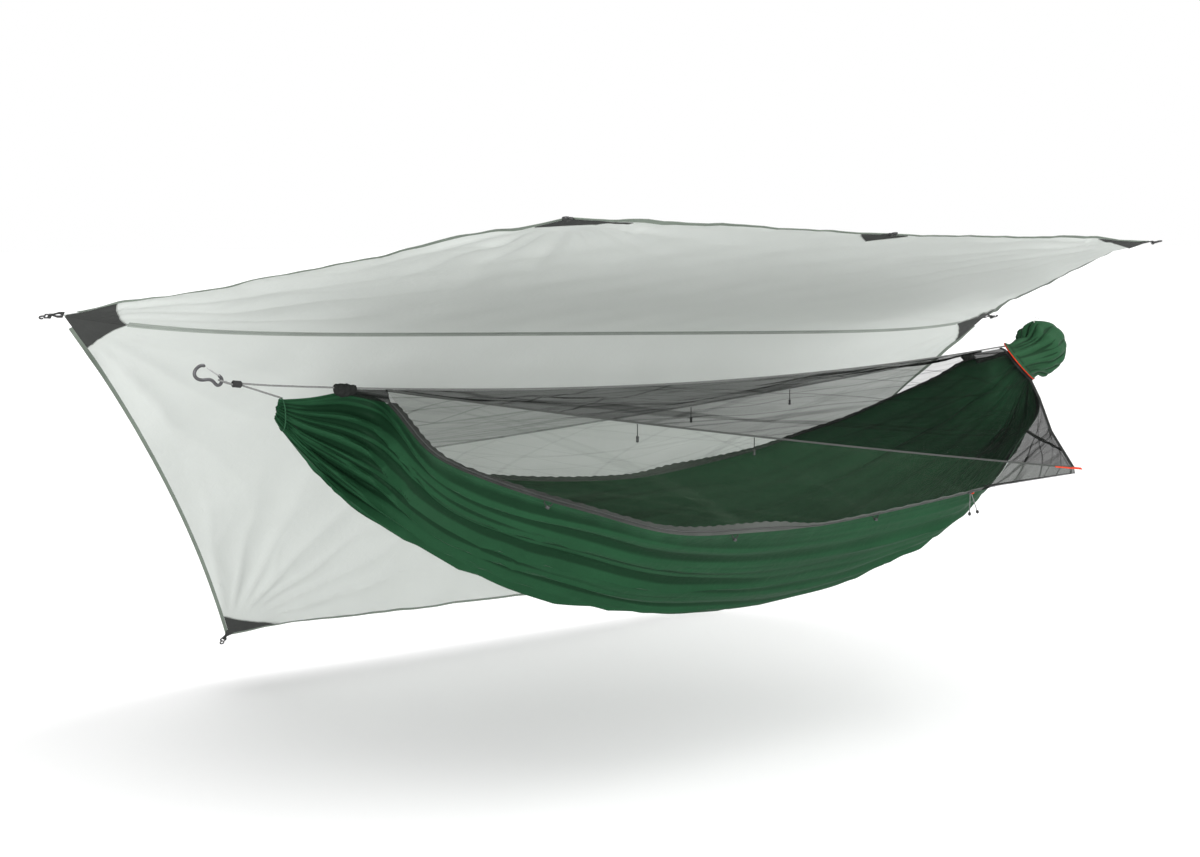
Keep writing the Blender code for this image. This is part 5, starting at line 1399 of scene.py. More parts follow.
ARC_CENTRE, ARC_AXIS, ARC_RADIUS = arc_through(ZIP_ARC_START, ZIP_ARC_MIDDLE, ZIP_ARC_END)
ARC_START_RAY = unit(np.array(ZIP_ARC_START) - ARC_CENTRE)
ARC_SIDE_RAY = np.cross(ARC_AXIS, ARC_START_RAY)
ARC_END_RAY = unit(np.array(ZIP_ARC_END) - ARC_CENTRE)
ARC_TURN = math.atan2(ARC_END_RAY.dot(ARC_SIDE_RAY), ARC_END_RAY.dot(ARC_START_RAY))


def arc_ray(share):
    angle = ARC_TURN * share
    return ARC_START_RAY * math.cos(angle) + ARC_SIDE_RAY * math.sin(angle)


def front_edge_points():
    arc = [ARC_CENTRE + ARC_RADIUS * arc_ray(s) for s in np.linspace(0, 1, ZIP_ARC_STEPS)]
    return np.array([*FRONT_EDGE_LEFT, *arc, *FRONT_EDGE_RIGHT])


EDGE_POINTS = front_edge_points()
edge_spline = natural_spline(EDGE_POINTS)


def share_of_knot(number):
    steps = np.linalg.norm(np.diff(EDGE_POINTS, axis=0), axis=1)
    return steps[:number].sum() / steps.sum()


ARC_FIRST = share_of_knot(len(FRONT_EDGE_LEFT))
ARC_LAST = share_of_knot(len(FRONT_EDGE_LEFT) + ZIP_ARC_STEPS - 1)


def front_edge(t):
    """The cloth's front edge; on the zip's arc it lies on the circle itself."""
    t = np.asarray(t, float)
    place = edge_spline(t)
    ray = place - ARC_CENTRE
    ray = unit(ray - ARC_AXIS * (ray @ ARC_AXIS)[..., None])
    on_arc = ((t >= ARC_FIRST) & (t <= ARC_LAST))[..., None]
    return np.where(on_arc, ARC_CENTRE + ray * ARC_RADIUS, place)


SMALL = 0.5 / CLOTH_COLUMNS


def edge_run(t):
    return unit(front_edge(np.minimum(1.0, t + SMALL)) - front_edge(np.maximum(0.0, t - SMALL)))


def edge_share_at(x):
    shares = np.linspace(0, 1, 2001)
    return shares[np.where(front_edge(shares)[:, 0] <= x)[0][-1]]


def column_shares():
    i = np.arange(CLOTH_COLUMNS + 1)
    shares = (0.5 - 0.5 * np.cos(math.pi * i / CLOTH_COLUMNS) + i / CLOTH_COLUMNS) / 2
    for wanted in (ARC_FIRST, ARC_LAST):
        near = int(np.argmin(np.abs(shares - wanted)))
        shares[near], shares[CLOTH_COLUMNS - near] = wanted, 1 - wanted
    return shares


COLUMN_SHARES = column_shares()


def nearest_column(share):
    return COLUMN_SHARES[int(np.argmin(np.abs(COLUMN_SHARES - share)))]


ZIP_FIRST = nearest_column((share_of_knot(ZIP_START_KNOT - 1) + share_of_knot(ZIP_START_KNOT)) / 2)
WING_LAST = nearest_column(edge_share_at(WING_END_X))


def ridge_place(x):
    x = np.asarray(x, float)
    rise = RIDGE_CORD_LOW + RIDGE_CORD_RISE * (x / COLLAR_AT[0]) ** 2
    return np.stack([x, 0 * x, rise], axis=-1)


def belly_line(t):
    x = SPAN_HALF * (2 * t - 1)
    u = np.minimum(1.0, np.abs(x) / SPAN_HALF)
    drop = (BELLY_DEPTH - END_HANG) * (1 - u**BELLY_LENGTH_POWER) ** BELLY_END_POWER
    z = -END_HANG - drop
    y = -BELLY_SIDE_SHIFT * np.sin(math.pi * x / SPAN_HALF)
    z = z * (1 - NECK_SHARE * smooth_step((x - NECK_START) / NECK_LENGTH))
    return np.stack([x, y, z], axis=-1)


def cloth_place(t, k):
    """A place on the hammock: t runs from end to end, k from -1 front to 1 back."""
    t, k = np.broadcast_arrays(np.asarray(t, float), np.asarray(k, float))
    front, back = front_edge(t), half_turn(front_edge(1 - t))
    middle = (front + back) / 2
    deep = belly_line(t) - middle
    share = (1 - np.abs(k) ** BELLY_SECTION_POWER)[..., None]
    return middle - (front - back) / 2 * k[..., None] + deep * share


def cloth_normal(t, k):
    run = cloth_place(np.minimum(1, t + SMALL), k) - cloth_place(np.maximum(0, t - SMALL), k)
    side = cloth_place(t, np.minimum(k + SMALL, 1)) - cloth_place(t, np.maximum(k - SMALL, -1))
    return unit(np.cross(run, side))


def cad_pleat(t, k):
    depth = PLEAT_DEPTH * bell(np.minimum(t, 1 - t), PLEAT_FADE) * (1 - k**4)
    return depth * np.sin(TAU * PLEAT_COUNT * (k + 1) / 2)


def pleated_place(t, k):
    return cloth_place(t, k) + cloth_normal(t, k) * cad_pleat(t, k)[..., None]


def cloth_relief(t, k):
    """Pleats that run out from the gathers as folds, and the sag's own broad unevenness."""
    near = np.minimum(t, 1 - t)
    wander = 0.20 * waves(t * 3, k, *CLOTH_WANDER_WAVES)
    inner = 1 - k**6
    right = smooth_step((t - 0.35) / 0.3)
    fade = bell(near, FOLD_RUN) * smooth_step(near / 0.05)
    fade = fade * (0.7 + 0.8 * np.minimum(near, 0.25) / 0.25)
    broad, second, fine = FOLD_COUNTS
    relief = cad_pleat(t, k)
    for way, seed in ((1 - right, 0.0), (RIGHT_FOLD_SHARE * right, 1.7)):
        kinds = (
            (broad * (k + 0.15 * wander), seed + 2 * wander, 0.8, fade),
            (second * (k + 0.10 * wander), 3 * seed, 0.9, fade),
            (fine * k, 4 * wander + seed, 0.9, np.exp(-near / FINE_FOLD_RUN)),
        )
        for height, (turns, shift, sharpness, share) in zip(FOLD_HEIGHTS, kinds):
            relief = relief + way * height * share * folds(TAU * turns + shift, sharpness) * inner
    relief = relief + SAG_HEIGHT * waves(t * 3.0, k * 0.9, *SAG_WAVES) * inner
    edge = np.exp(-(1 - np.abs(k)) / 0.05) * (1 - np.abs(k) ** 60)
    return relief + EDGE_WAVE_HEIGHT * edge * waves(t * 3, 0 * k, *EDGE_WAVES)


def build_cloth():
    q = np.linspace(0, 1, CLOTH_STEPS[0])
    t = (q + 0.5 - 0.5 * np.cos(math.pi * q)) / 2
    k = np.sin(math.pi / 2 * np.linspace(-1, 1, CLOTH_STEPS[1]))
    t, k = np.meshgrid(t, k)
    grid = cloth_place(t, k) + cloth_normal(t, k) * cloth_relief(t, k)[..., None]
    end = np.exp(-np.minimum(t, 1 - t) / RAGGED_RUN)
    ragged = np.abs(RAGGED_HEIGHT * waves(k, 0 * k, *RAGGED_WAVES) * end)
    grid[..., 0] += np.where(t < 0.5, ragged, -ragged)
    uv = grid_uv(grid)
    run = uv[..., 1]
    uv[..., 1] = np.minimum(run, run[-1:] - run)
    cloth = shell("hammock_body_cloth", grid, CLOTH_THICK * 0.8, GREEN, uv)
    carried(cloth, "hammock", "green_cloth", "hammock_cloth")
    return cloth, grid_area(grid)


# ---- net and zipper ----


def fold_place(share):
    """The taut seam of the net, from the head end of the ridge cord to the pull-out."""
    share = np.asarray(share, float)[..., None]
    start = ridge_place(NET_LEFT_X) - UPWARDS * NET_START_DROP
    sag = -UPWARDS * NET_SAG * 4 * share * (1 - share)
    return start + (PULLOUT_TIP - start) * share + sag


def tape_up(t):
    here = front_edge(t)
    along = np.maximum(0.0, (here[..., 0] - NET_LEFT_X) / (PULLOUT_TIP[0] - NET_LEFT_X))
    run = edge_run(t)
    to_fold = fold_place(np.minimum(1.0, along + TAPE_LEAN_SHARE)) - here
    to_fold = unit(to_fold - run * (to_fold * run).sum(axis=-1, keepdims=True))
    to_centre = unit(ARC_CENTRE - here)
    turn = smooth_step((t - ARC_FIRST + TAPE_TURN_SHARE) / TAPE_TURN_SHARE)[..., None]
    return unit(to_fold * (1 - turn) + to_centre * turn)


def bend_gap(before, after, thick):
    cosine = (unit(before) * unit(after)).sum(axis=-1)
    cosine = np.clip(cosine, SHARPEST_BEND_SHARE, 1.0)
    return ZIP_TAPE_GAP + thick / 2 * np.sqrt((1 - cosine) / (1 + cosine))


def tape_start(t):
    cloth = front_edge(t) - pleated_place(t, 2 / 16 - 1)
    return bend_gap(cloth, tape_up(t), CLOTH_THICK + ZIP_TAPE_THICK)


def tape_top(t, width):
    return front_edge(t) + tape_up(t) * (tape_start(t) + width)[..., None]


def net_share(t):
    return NET_HEM_SHARE * (t - ZIP_FIRST) / (ARC_LAST - ZIP_FIRST)


def net_columns(count, hem_count):
    """Each column's share of the net's width, with its place on the net's lower edge."""
    t = np.linspace(ZIP_FIRST, ARC_LAST, count)
    share = net_share(t)
    top = tape_top(t, np.full(len(t), ZIP_TAPE_WIDTH))
    bend = bend_gap(tape_up(t), fold_place(share) - top, ZIP_TAPE_THICK + NET_THICK)
    low = top + tape_up(t) * bend[:, None]
    far = np.linspace(0, 1, hem_count)[1:]
    end = PULLOUT_TIP - UPWARDS * HEM_TIP_DROP
    hem = low[-1] + (end - low[-1]) * far[:, None]
    shares = np.concatenate([share, NET_HEM_SHARE + (1 - NET_HEM_SHARE) * far])
    return shares, np.concatenate([low, hem]), hem


def wing_edge(share):
    share = np.asarray(share, float)[..., None]
    end = front_edge(WING_LAST) + WING_END_OFFSET
    bow = 4 * share * (1 - share) * WING_CURVE
    return PULLOUT_TIP + (end - PULLOUT_TIP) * share + bow * np.array((-1, 0.5, 0))


def net_top(share):
    x = NET_LEFT_X + (NET_RIGHT_X - NET_LEFT_X) * np.asarray(share, float)
    return ridge_place(x) + NET_TOP_OFF


def net_end_line():
    """The net's sack end: from the ridge, round the front of the mouth, to the pull-out."""
    line = [net_top(1.0)]
    away = unit(np.cross(SACK_MOUTH_UP, SACK_MOUTH_FRONT)) * NET_MOUTH_CLEAR
    clear = 1 + (TRIM_CORD + NET_THICK) / np.linalg.norm(SACK_MOUTH_FRONT)
    for angle in np.radians(NET_MOUTH_DEG):
        ring = SACK_MOUTH_UP * math.sin(angle) + SACK_MOUTH_FRONT * math.cos(angle)
        line.append(SACK_MOUTH + ring * clear - away)
    return np.array([*line, *wing_edge((1.0, 0.5, 0.0))])


def dark_strip(name, grid):
    """A doubled and stitched strip of cloth over an edge."""
    return carried(shell(name, grid, STRIP_THICK, BLACK_MESH), "hammock", "net_cloth")


def veil(name, grid, look, *nodes):
    return carried(open_sheet(name, grid, look), "hammock", "net_cloth", *nodes)


def build_net(label, turn):
    shares, low, _ = net_columns(NET_COLUMNS, NET_HEM_COLUMNS)
    end_line = net_end_line()
    rows = []
    for band in np.linspace(0, 1, 60):
        number = band * (len(end_line) - 1)
        end = np.array([np.interp(number, range(len(end_line)), end_line[:, c]) for c in range(3)])
        bow = end - net_top(1.0) * (1 - band) - fold_place(1.0) * band
        row = net_top(shares) * (1 - band) + fold_place(shares) * band
        row = row + bow * (shares**NET_END_POWER)[:, None]
        broad, narrow = (height * hump(band) for height in ROOF_SLACK)
        slack = broad * waves(shares * 2, 0 * shares + band, *ROOF_WAVES)
        slack = slack + narrow * folds(band * 30 + shares * 8)
        rows.append(row + UPWARDS * (slack * (1 - shares**4))[:, None])
    grid = turn(np.array(rows))
    strips = [dark_strip(f"net_end_hem_{label}", grid[:, -2:])]
    if label == "front":
        patch, bunch = (grid[a, b] - UPWARDS * drop for a, b, drop in (END_PATCH, END_BUNCH))
        strips.append(dark_strip("net_end_patch", patch))
        strips.append(veil("net_end_bunch", bunch, NET_BUNCHED))
    roof = veil(f"bug_net_roof_{label}", grid, NET_ROOF, f"bug_net_{label}")
    rows = rows[-1:]
    for band in np.linspace(0, 1, 26)[1:]:
        row = fold_place(shares) * (1 - band) + low * band
        slack = waves(shares * 2, 0 * shares + band * 0.3, *SIDE_WAVES)
        rows.append(row + SIDEWAYS * (SIDE_SLACK * hump(band) * slack)[:, None])
    side_grid = turn(np.array(rows))
    strips.append(dark_strip(f"net_low_hem_{label}", side_grid[-2:, -LOW_HEM_COLUMNS:]))
    side = veil(f"bug_net_side_{label}", side_grid, NET_SIDE)
    line = evenly(fold_place(np.linspace(0, 0.995, 120)), 0.01)
    strip = turn(np.array([line + UPWARDS * rise for rise in FOLD_SEAM_RISES]))
    look = NET_SEAM if label == "front" else NET_SIDE
    seam = shell(f"net_fold_seam_{label}", strip, FOLD_SEAM_THICK, look)
    carried(seam, "hammock", "net_cloth")


def build_wing(label, turn):
    """The underside of the net's wing, between the cloth's edge and the pull-out."""
    t = np.linspace(ARC_LAST, WING_LAST, 60)
    _, low, hem = net_columns(NET_COLUMNS, WING_HEM_COLUMNS)
    free = len(t) - len(hem) - 1
    rest = wing_edge(WING_TOP_SHARE * np.arange(1, free + 1) / free)
    outer = np.concatenate([low[NET_COLUMNS - 1 : NET_COLUMNS], hem, rest])
    edge = front_edge(t)
    inner = edge + unit(outer - edge) * (CLOTH_THICK + ZIP_TAPE_GAP)
    rows = []
    for band in np.linspace(0, 1, 24):
        row = inner * (1 - band) + (outer - UPWARDS * WING_GAP) * band
        slack = WING_SLACK * hump(band) * folds(np.linspace(0, 26, len(t)) + band * 6)
        rows.append(row - UPWARDS * np.abs(slack)[:, None])
    grid = turn(np.array(rows))
    raised = grid[:, WING_SEAM_COLUMNS] + UPWARDS * WING_SEAM_RISE
    seam = dark_strip(f"net_wing_seam_{label}", raised)
    t, k = np.meshgrid(np.linspace(ARC_LAST, 0.985, 90), np.linspace(-0.999, -0.945, 7))
    lining = turn(cloth_place(t, k) + cloth_normal(t, k) * LINING_OFF)
    tape = dark_strip(f"cloth_edge_tape_{label}", lining)
    wing = veil(f"net_wing_cloth_{label}", grid, NET_DOUBLE, f"net_wing_{label}")
    return tape


def build_zip(label, turn):
    """The zipper's tape with its wavy free edge, and the coil along its middle."""
    t = np.linspace(ZIP_FIRST, ARC_LAST, 420)
    face = unit(np.cross(edge_run(t), tape_up(t)))
    steps = np.linalg.norm(np.diff(front_edge(t), axis=0), axis=1)
    along = np.concatenate([[0], np.cumsum(steps)])
    wave_height, wave_pitch = ZIP_WAVE
    ripple_height, ripple_pitch = ZIP_RIPPLE
    wavy = np.sin(TAU * along / wave_pitch + 0.8 * np.sin(along * 9))
    rippled = np.sin(TAU * along / ripple_pitch)
    rows = []
    for share in np.linspace(0, 1, 9):
        wave = wave_height * share**2 * wavy - ZIP_EDGE_IN * (1 - share) + ZIP_EDGE_OUT * share
        bulge = ZIP_BULGE * hump(share) + ripple_height * share * rippled
        rows.append(tape_top(t, ZIP_TAPE_WIDTH * share + wave) + face * bulge[:, None])
    tape = shell(f"zip_tape_cloth_{label}", turn(np.array(rows)), ZIP_CLOTH_THICK, ZIP)
    carried(tape, "hammock", "zip_tape", f"zip_tape_{label}")
    for side, off in ZIP_COIL_OFF.items():
        line = tape_top(t, np.full(len(t), ZIP_TAPE_WIDTH * ZIP_COIL_SHARE))
        line = evenly(line + face * (ZIP_COIL_HIGH + off), ZIP_TOOTH)
        teeth = 1 + ZIP_TOOTH_HEIGHT * np.cos(math.pi * np.arange(len(line)))
        coil = tube(f"zip_coil_{label}_{side}", turn(line), ZIP_COIL * teeth, COIL, 8)
        carried(coil, "hammock", "zip_tape")
    return tape


def tapered_net():
    """The net's flat grey end, between its wrapped gather and the zipper's first tooth."""
    x = np.linspace(BUNDLE_X[1] - TAPER_OVERLAP[0], NET_LEFT_X + TAPER_OVERLAP[1], 40)
    share = ((x - x[0]) / (x[-1] - x[0]))[:, None]
    top = ridge_place(x) + NET_TOP_OFF
    first = ridge_place(x[0]) - UPWARDS * TAPER_DROP
    last = tape_top(np.array([ZIP_FIRST]), np.array([ZIP_TAPE_WIDTH * TAPER_TAPE_SHARE]))[0]
    low = first + (last - first) * share
    rows = []
    for side in np.linspace(0, 1, 16):
        crease = SIDEWAYS * TAPER_CREASE * math.sin(side * 14)
        rows.append(top * (1 - side) + low * side + crease)
    return veil("net_taper", rows, NET_BUNCHED)


def build_bundle():
    """The gathered end of the net, wrapped round the ridge cord."""
    angle = round_about(32)
    start, run = BUNDLE_X[0] - BUNDLE_OVERRUN[0], BUNDLE_X[1] - BUNDLE_X[0] + BUNDLE_OVERRUN[1]
    rings = []
    for along, wide in natural_spline(BUNDLE_SHARES)(np.linspace(0, 1, 60)):
        crease = 1 + BUNDLE_CREASE * folds(angle * 5 + along * 14) * wide
        crease = crease + 0.08 * math.sin(along * 23)
        reach = crease * (CORD / 2 + BUNDLE_GAP + BUNDLE_SIZE * wide * BUNDLE_WIDE_SHARE)
        drop = BUNDLE_SIZE * wide * BUNDLE_DROP_SHARE * (1 - np.sin(angle)) / 2
        ring = [0 * angle, reach * np.cos(angle), reach * np.sin(angle) - drop]
        rings.append(ridge_place(start + run * along) + np.stack(ring, axis=1))
    piece = add_rings("net_gather", rings, BLACK_MESH)
    return carried(piece, "hammock", "dark_cloth", "net_bundle")


def slider_frame():
    """Middle of the slider, its ways along the zip, across it and outwards."""
    ray = arc_ray(SLIDER_AT_SHARE)
    tangent = np.cross(ARC_AXIS, ray) * math.copysign(1, ARC_TURN)
    face = ARC_AXIS if ARC_AXIS[1] < 0 else -ARC_AXIS
    middle = ARC_CENTRE + ray * (ARC_RADIUS - CLOTH_THICK - ZIP_TAPE_WIDTH / 2)
    centre = middle + face * (ZIP_TAPE_THICK / 2 + SLIDER_GAP + SLIDER_THICK / 2)
    return centre, tangent, ray, face


def build_slider(label, turn):
    centre, tangent, ray, face = slider_frame()
    body, name = f"slider_{label}", f"zip_slider_body_{label}"
    long, wide, thick = SLIDER_LENGTH / 2, SLIDER_WIDTH / 2, SLIDER_THICK
    outline = [(long * a, -wide * b) for a, b in SLIDER_OUTLINE]
    outline += [(a, -b) for a, b in reversed(outline)]

    def to_world(p):
        return turn(centre + tangent * p[0] + ray * p[1] + face * p[2])

    block = plate(name, [outline], thick * 0.8, to_world, PLASTIC, SLIDER_BEVEL)
    arch = [
        to_world((long * 0.55 * math.cos(a), 0, thick * (0.3 + 0.35 * math.sin(a))))
        for a in np.linspace(0, math.pi, 20)
    ]
    bridge = tube(f"zip_slider_bridge_{label}", arch, SLIDER_WIRE, PLASTIC, 10)
    carried(joined(name, [block, bridge]), body, "hook_plastic", f"zip_slider_{label}")
    ring = [
        to_world((long * 0.3 + 0.0035 * math.cos(a), 0.003 * math.sin(a), thick * 0.75))
        for a in round_about(20)
    ]
    mark = tube(f"slider_thread_{label}", ring, SLIDER_WIRE, RED, 8, closed=True)
    carried(mark, body, "red_web")
    low = centre + ray * wide
    top, aside = (turn(p) - UPWARDS * PULL_DROP for p in (low, low + tangent * SIDE_PULL_STEP))
    build_pull(f"zip_pull_cord_{label}", top, -UPWARDS, body, f"zip_pull_{label}")
    build_pull(f"zip_side_cord_{label}", aside, turn(unit(np.array(SIDE_PULL_WAY))), body)


def build_pull(name, top, way, body, *nodes):
    """A short cord with a dark knot."""
    path = np.array([top + way * d for d in np.linspace(0, PULL_LENGTH, 60)])
    cord = braided(name, path, PULL_CORD, GREY_CORD)
    profile = []
    for share in np.linspace(0, 1, 16):
        radius = PULL_CORD / 2 + 0.0003 + (PULL_KNOT - PULL_CORD) / 2 * hump(share) ** 0.6
        along = PULL_LENGTH - PULL_KNOT_LENGTH + PULL_KNOT_LENGTH * share * 0.98
        profile.append((along, radius * (1 + 0.06 * math.sin(share * 22))))
    end = turned(name + "_knot", profile, top, DARK_CORD, way)
    carried(cord, body, "grey_cord", *nodes)
    carried(end, body, "grey_cord")


def build_toggle(label, number, wanted, turn):
    """A toggle hung from the net's fold, which ties the rolled net up."""
    t = COLUMN_SHARES[(COLUMN_SHARES >= ZIP_FIRST - 1e-9) & (COLUMN_SHARES <= ARC_LAST + 1e-9)]
    shares = net_share(t)
    share = shares[int(np.argmin(np.abs(shares - wanted)))]
    top = turn(fold_place(share) + SIDEWAYS * TOGGLE_INSET - UPWARDS * TOGGLE_DROP)
    node = f"net_toggle_{label}_{number}"
    barrel = TOGGLE_LENGTH - TOGGLE_BARREL_LENGTH
    length = barrel + TOGGLE_CORD_INSIDE
    path = np.array([top - UPWARDS * d for d in np.linspace(0, length, 40)])
    cord = braided(f"toggle_cord_{label}_{number}", path, TOGGLE_CORD, DARK_CORD)
    profile = [(barrel + a, TOGGLE_BARREL / 2 * b) for a, b in TOGGLE_PROFILE]
    wood = turned(f"toggle_barrel_{label}_{number}", profile, top, PLASTIC)
    carried(wood, node + "_body", "hook_plastic", node)
    carried(cord, node + "_body", "grey_cord")


def build_tie_loop(number, x):
    t = edge_share_at(x)
    edge, run = front_edge(t), edge_run(t)
    out = unit(run * run[1] - SIDEWAYS)
    down = unit(np.cross(run, out))
    down *= -1 if down[2] > 0 else 1
    start = edge + out * ((CLOTH_THICK + TIE_LOOP_CORD) / 2 + TIE_LOOP_GAP)
    angle = np.linspace(0, math.pi, 40)[:, None]
    path = start + (down * np.sin(angle) - run * np.cos(angle)) * TIE_LOOP_RADIUS
    loop = braided(f"tie_loop_{number}", path, TIE_LOOP_CORD, DARK_CORD)
    carried(loop, "hammock", "grey_cord", f"net_tie_loop_{number}")
    low = path[len(path) // 2] - UPWARDS * 0.002
    start, way = low - run * 0.005, run - UPWARDS * 0.3
    bead = turned(f"tie_loop_bead_{number}", BEAD_PROFILE, start, PLASTIC, way)
    carried(bead, "hammock", "hook_plastic")


def build_pullout(label, turn):
    along = unit(fold_place(1.0) - fold_place(PULLOUT_SEAM_SHARE))
    out = unit(np.cross(along, net_top(PULLOUT_SEAM_SHARE) - PULLOUT_TIP))
    out *= -1 if out[2] < 0 else 1
    across = np.cross(out, along)
    base = PULLOUT_TIP + out * PULLOUT_OFF
    far = np.linspace(PULLOUT_OVERRUN - PULLOUT_LENGTH, PULLOUT_OVERRUN, 50)[:, None]
    line, half = base + along * far, across * PULLOUT_WIDTH / 2
    rows = [line + half * side for side in np.linspace(-1, 1, 7)]
    strap = shell(f"pullout_web_{label}", turn(np.array(rows)), PULLOUT_THICK, RED)
    carried(strap, "hammock", "red_web", f"pullout_strap_{label}")


# ---- cords and carabiners ----


def carabiner_axes(place, lean_deg, flat):
    lean = math.radians(lean_deg)
    along = np.array((-math.cos(lean), 0, math.sin(lean)))
    up, side = np.array((math.sin(lean), 0, math.cos(lean))), SIDEWAYS
    if flat:
        up, side = side, -up
    return lambda a, b, c=0.0: place + a * along + b * up + c * side


def build_carabiner(label, at):
    """The grooved rod with rounded ends, and its wire gate."""
    path = [at(a, b) for a, b in natural_spline(CARABINER_LINE)(np.linspace(0, 1, 160))]
    path = np.array(path)
    spokes = tube_rings(path, 1.0, 28) - path[:, None]
    sideways = spokes @ (at(0, 0, 1.0) - at(0, 0))
    groove = 1 - GROOVE_DEPTH_SHARE * bell(1 - np.abs(sideways), GROOVE_WIDTH_SHARE)
    share = np.linspace(0, 1, len(path))
    from_end = np.minimum(share, 1 - share) * ROD_ENDS
    round_off = np.sqrt(np.clip(1 - (1 - np.clip(from_end, 0.02, 1)) ** 2, 0, 1))
    rings = path[:, None] + spokes * (CARABINER_ROD / 2 * groove * round_off[:, None])[..., None]
    rod = add_rings(f"carabiner_rod_{label}", rings, METAL)
    carried(rod, "hammock", "grey_metal", f"carabiner_{label}")
    first, second, last = (np.array(CARABINER_LINE[i]) for i in (0, 1, -1))
    pivot = first + unit(second - first) * CARABINER_ROD / 2
    run = last - pivot
    length = np.linalg.norm(run) - CARABINER_ROD / 2 - GATE_WIRE / 2 - GATE_END_GAP
    run = unit(run)
    half = CARABINER_ROD / 2 + GATE_GAP + GATE_WIRE / 2
    deep = CARABINER_ROD / 2 - GATE_PIN_DEPTH
    route = [(0, deep), (0, half - GATE_BEND / 2), (GATE_BEND, half)]
    route += [(length - half / 2, half), (length, half / 2)]
    route += [(a, -b) for a, b in reversed(route)]
    wire = evenly([at(*(pivot + run * a), b) for a, b in route], GATE_STEP)
    wire[1:-1] = (wire[:-2] + wire[1:-1] * 2 + wire[2:]) / 4
    gate = tube(f"gate_wire_{label}", wire, GATE_WIRE / 2, WIRE, 12)
    carried(gate, f"gate_{label}", "bright_wire", f"carabiner_gate_{label}")


def build_collar(label, place, along):
    """The wrapped sleeve over the cords."""
    distance = np.linspace(-0.5, 0.5, 64)
    path = place + distance[:, None] * along * COLLAR_LENGTH
    wraps = 1 + COLLAR_WRAP_HEIGHT * np.abs(np.sin(distance * math.pi * COLLAR_WRAPS))
    ends = np.clip((0.5 - np.abs(distance)) * 14, 0.75, 1)
    outer = tube_rings(path, COLLAR_RADIUS * 0.97 * wraps * ends, 28)
    inner = tube_rings(path, COLLAR_RADIUS - COLLAR_WALL, 28)
    piece = add_rings(f"wrapped_collar_{label}", [*outer, *inner[::-1]], DARK_CORD, closed=True)
    carried(piece, "hammock", "dark_cloth", f"cord_collar_{label}")


def loop_route(bar, towards, spread_way):
    """The cord's way round the carabiner's rod, between its two strands in the collar."""
    side, back = unit(spread_way), unit(bar - towards)
    radius = CARABINER_ROD / 2 + LOOP_GAP + CORD / 2
    route = [towards - spread_way]
    for angle in np.linspace(-math.pi / 2, math.pi / 2, 7):
        route.append(bar + (back * math.cos(angle) + side * math.sin(angle)) * radius)
    return route + [towards + spread_way]


def cinch_top(label):
    """Where the suspension cord comes to the cinch ring."""
    x, middle, half_z = CINCHES[label]
    return np.array((x, 0, middle + half_z + (CINCH_CORD + CORD) / 2))


def build_rope(label, points):
    route = natural_spline(points)(np.linspace(0, 1, 400))
    cord = braided(f"suspension_rope_{label}", route, CORD, GREY_CORD)
    carried(cord, "hammock", "grey_cord", f"suspension_cord_{label}")


def build_left_cords(at):
    along = unit(COLLAR_TOWARDS - COLLAR_AT)
    build_collar("left", COLLAR_AT, along)
    low = COLLAR_AT + np.cross(SIDEWAYS, along) * STRAND_LOW
    spacing = SIDEWAYS * STRAND_SIDE
    loop = loop_route(at(*LOOP_AT), low - along * COLLAR_LENGTH * LOOP_END_SHARE, spacing)
    leave = low + spacing + along * COLLAR_LENGTH * LEAVE_SHARE
    run = cinch_top("left") + GATHER_TUCK - leave
    build_rope("left", loop + [leave + run * share for share in TAUT_SHARES])


def build_ridge_cord():
    along = unit(COLLAR_TOWARDS - COLLAR_AT)
    high = COLLAR_AT - np.cross(SIDEWAYS, along) * STRAND_HIGH
    start = high - along * COLLAR_LENGTH * RIDGE_CORD_INSIDE_SHARE
    leave = high + along * COLLAR_LENGTH * LEAVE_HIGH_SHARE
    middle = [ridge_place(x) for x in np.linspace(*RIDGE_CORD_X, RIDGE_CORD_KNOTS)]
    tail = [STOWED_AT + np.array(p) for p in RIDGE_CORD_TAIL]
    route = natural_spline([start, leave, *middle, *tail])(np.linspace(0, 1, 900))
    cord = braided("structural_cord", route, CORD, GREY_CORD)
    carried(cord, "hammock", "grey_cord", "structural_ridge_cord")


def build_right_cords(at):
    collar = STOWED_AT + STOWED_COLLAR_OFFSET
    along = unit(STOWED_COLLAR_OFFSET)
    build_collar("right", collar, along)
    spacing = np.cross(SIDEWAYS, along) * STRAND_SIDE
    towards = collar - along * COLLAR_LENGTH * LOOP_END_SHARE
    loop = loop_route(at(*STOWED_LOOP_AT), towards, spacing)
    cinch = cinch_top("right")
    leave = collar + spacing + along * COLLAR_LENGTH * LEAVE_SHARE
    rest = [leave, leave + STOWED_TURN, cinch + STOWED_END, cinch + UPWARDS * 0.0004]
    build_rope("right", loop + rest)


def build_cinch(label):
    x, middle, half_z = CINCHES[label]
    angle = round_about(120)
    high = middle + CINCH_DRAWN_SHARE * half_z * np.sin(angle)
    path = np.stack([x + 0 * angle, CINCH_HALF_Y * np.cos(angle), high], axis=1)
    piece = braided(f"cinch_cord_{label}", path, CINCH_CORD, GREEN_CORD, closed=True)
    carried(piece, "hammock", "green_cloth", f"end_cinch_{label}")


# ---- stuff sack ----


sack_profile = natural_spline(SACK_RING_SHARES)
SACK_AXIS = unit(SACK_END - SACK_MOUTH)


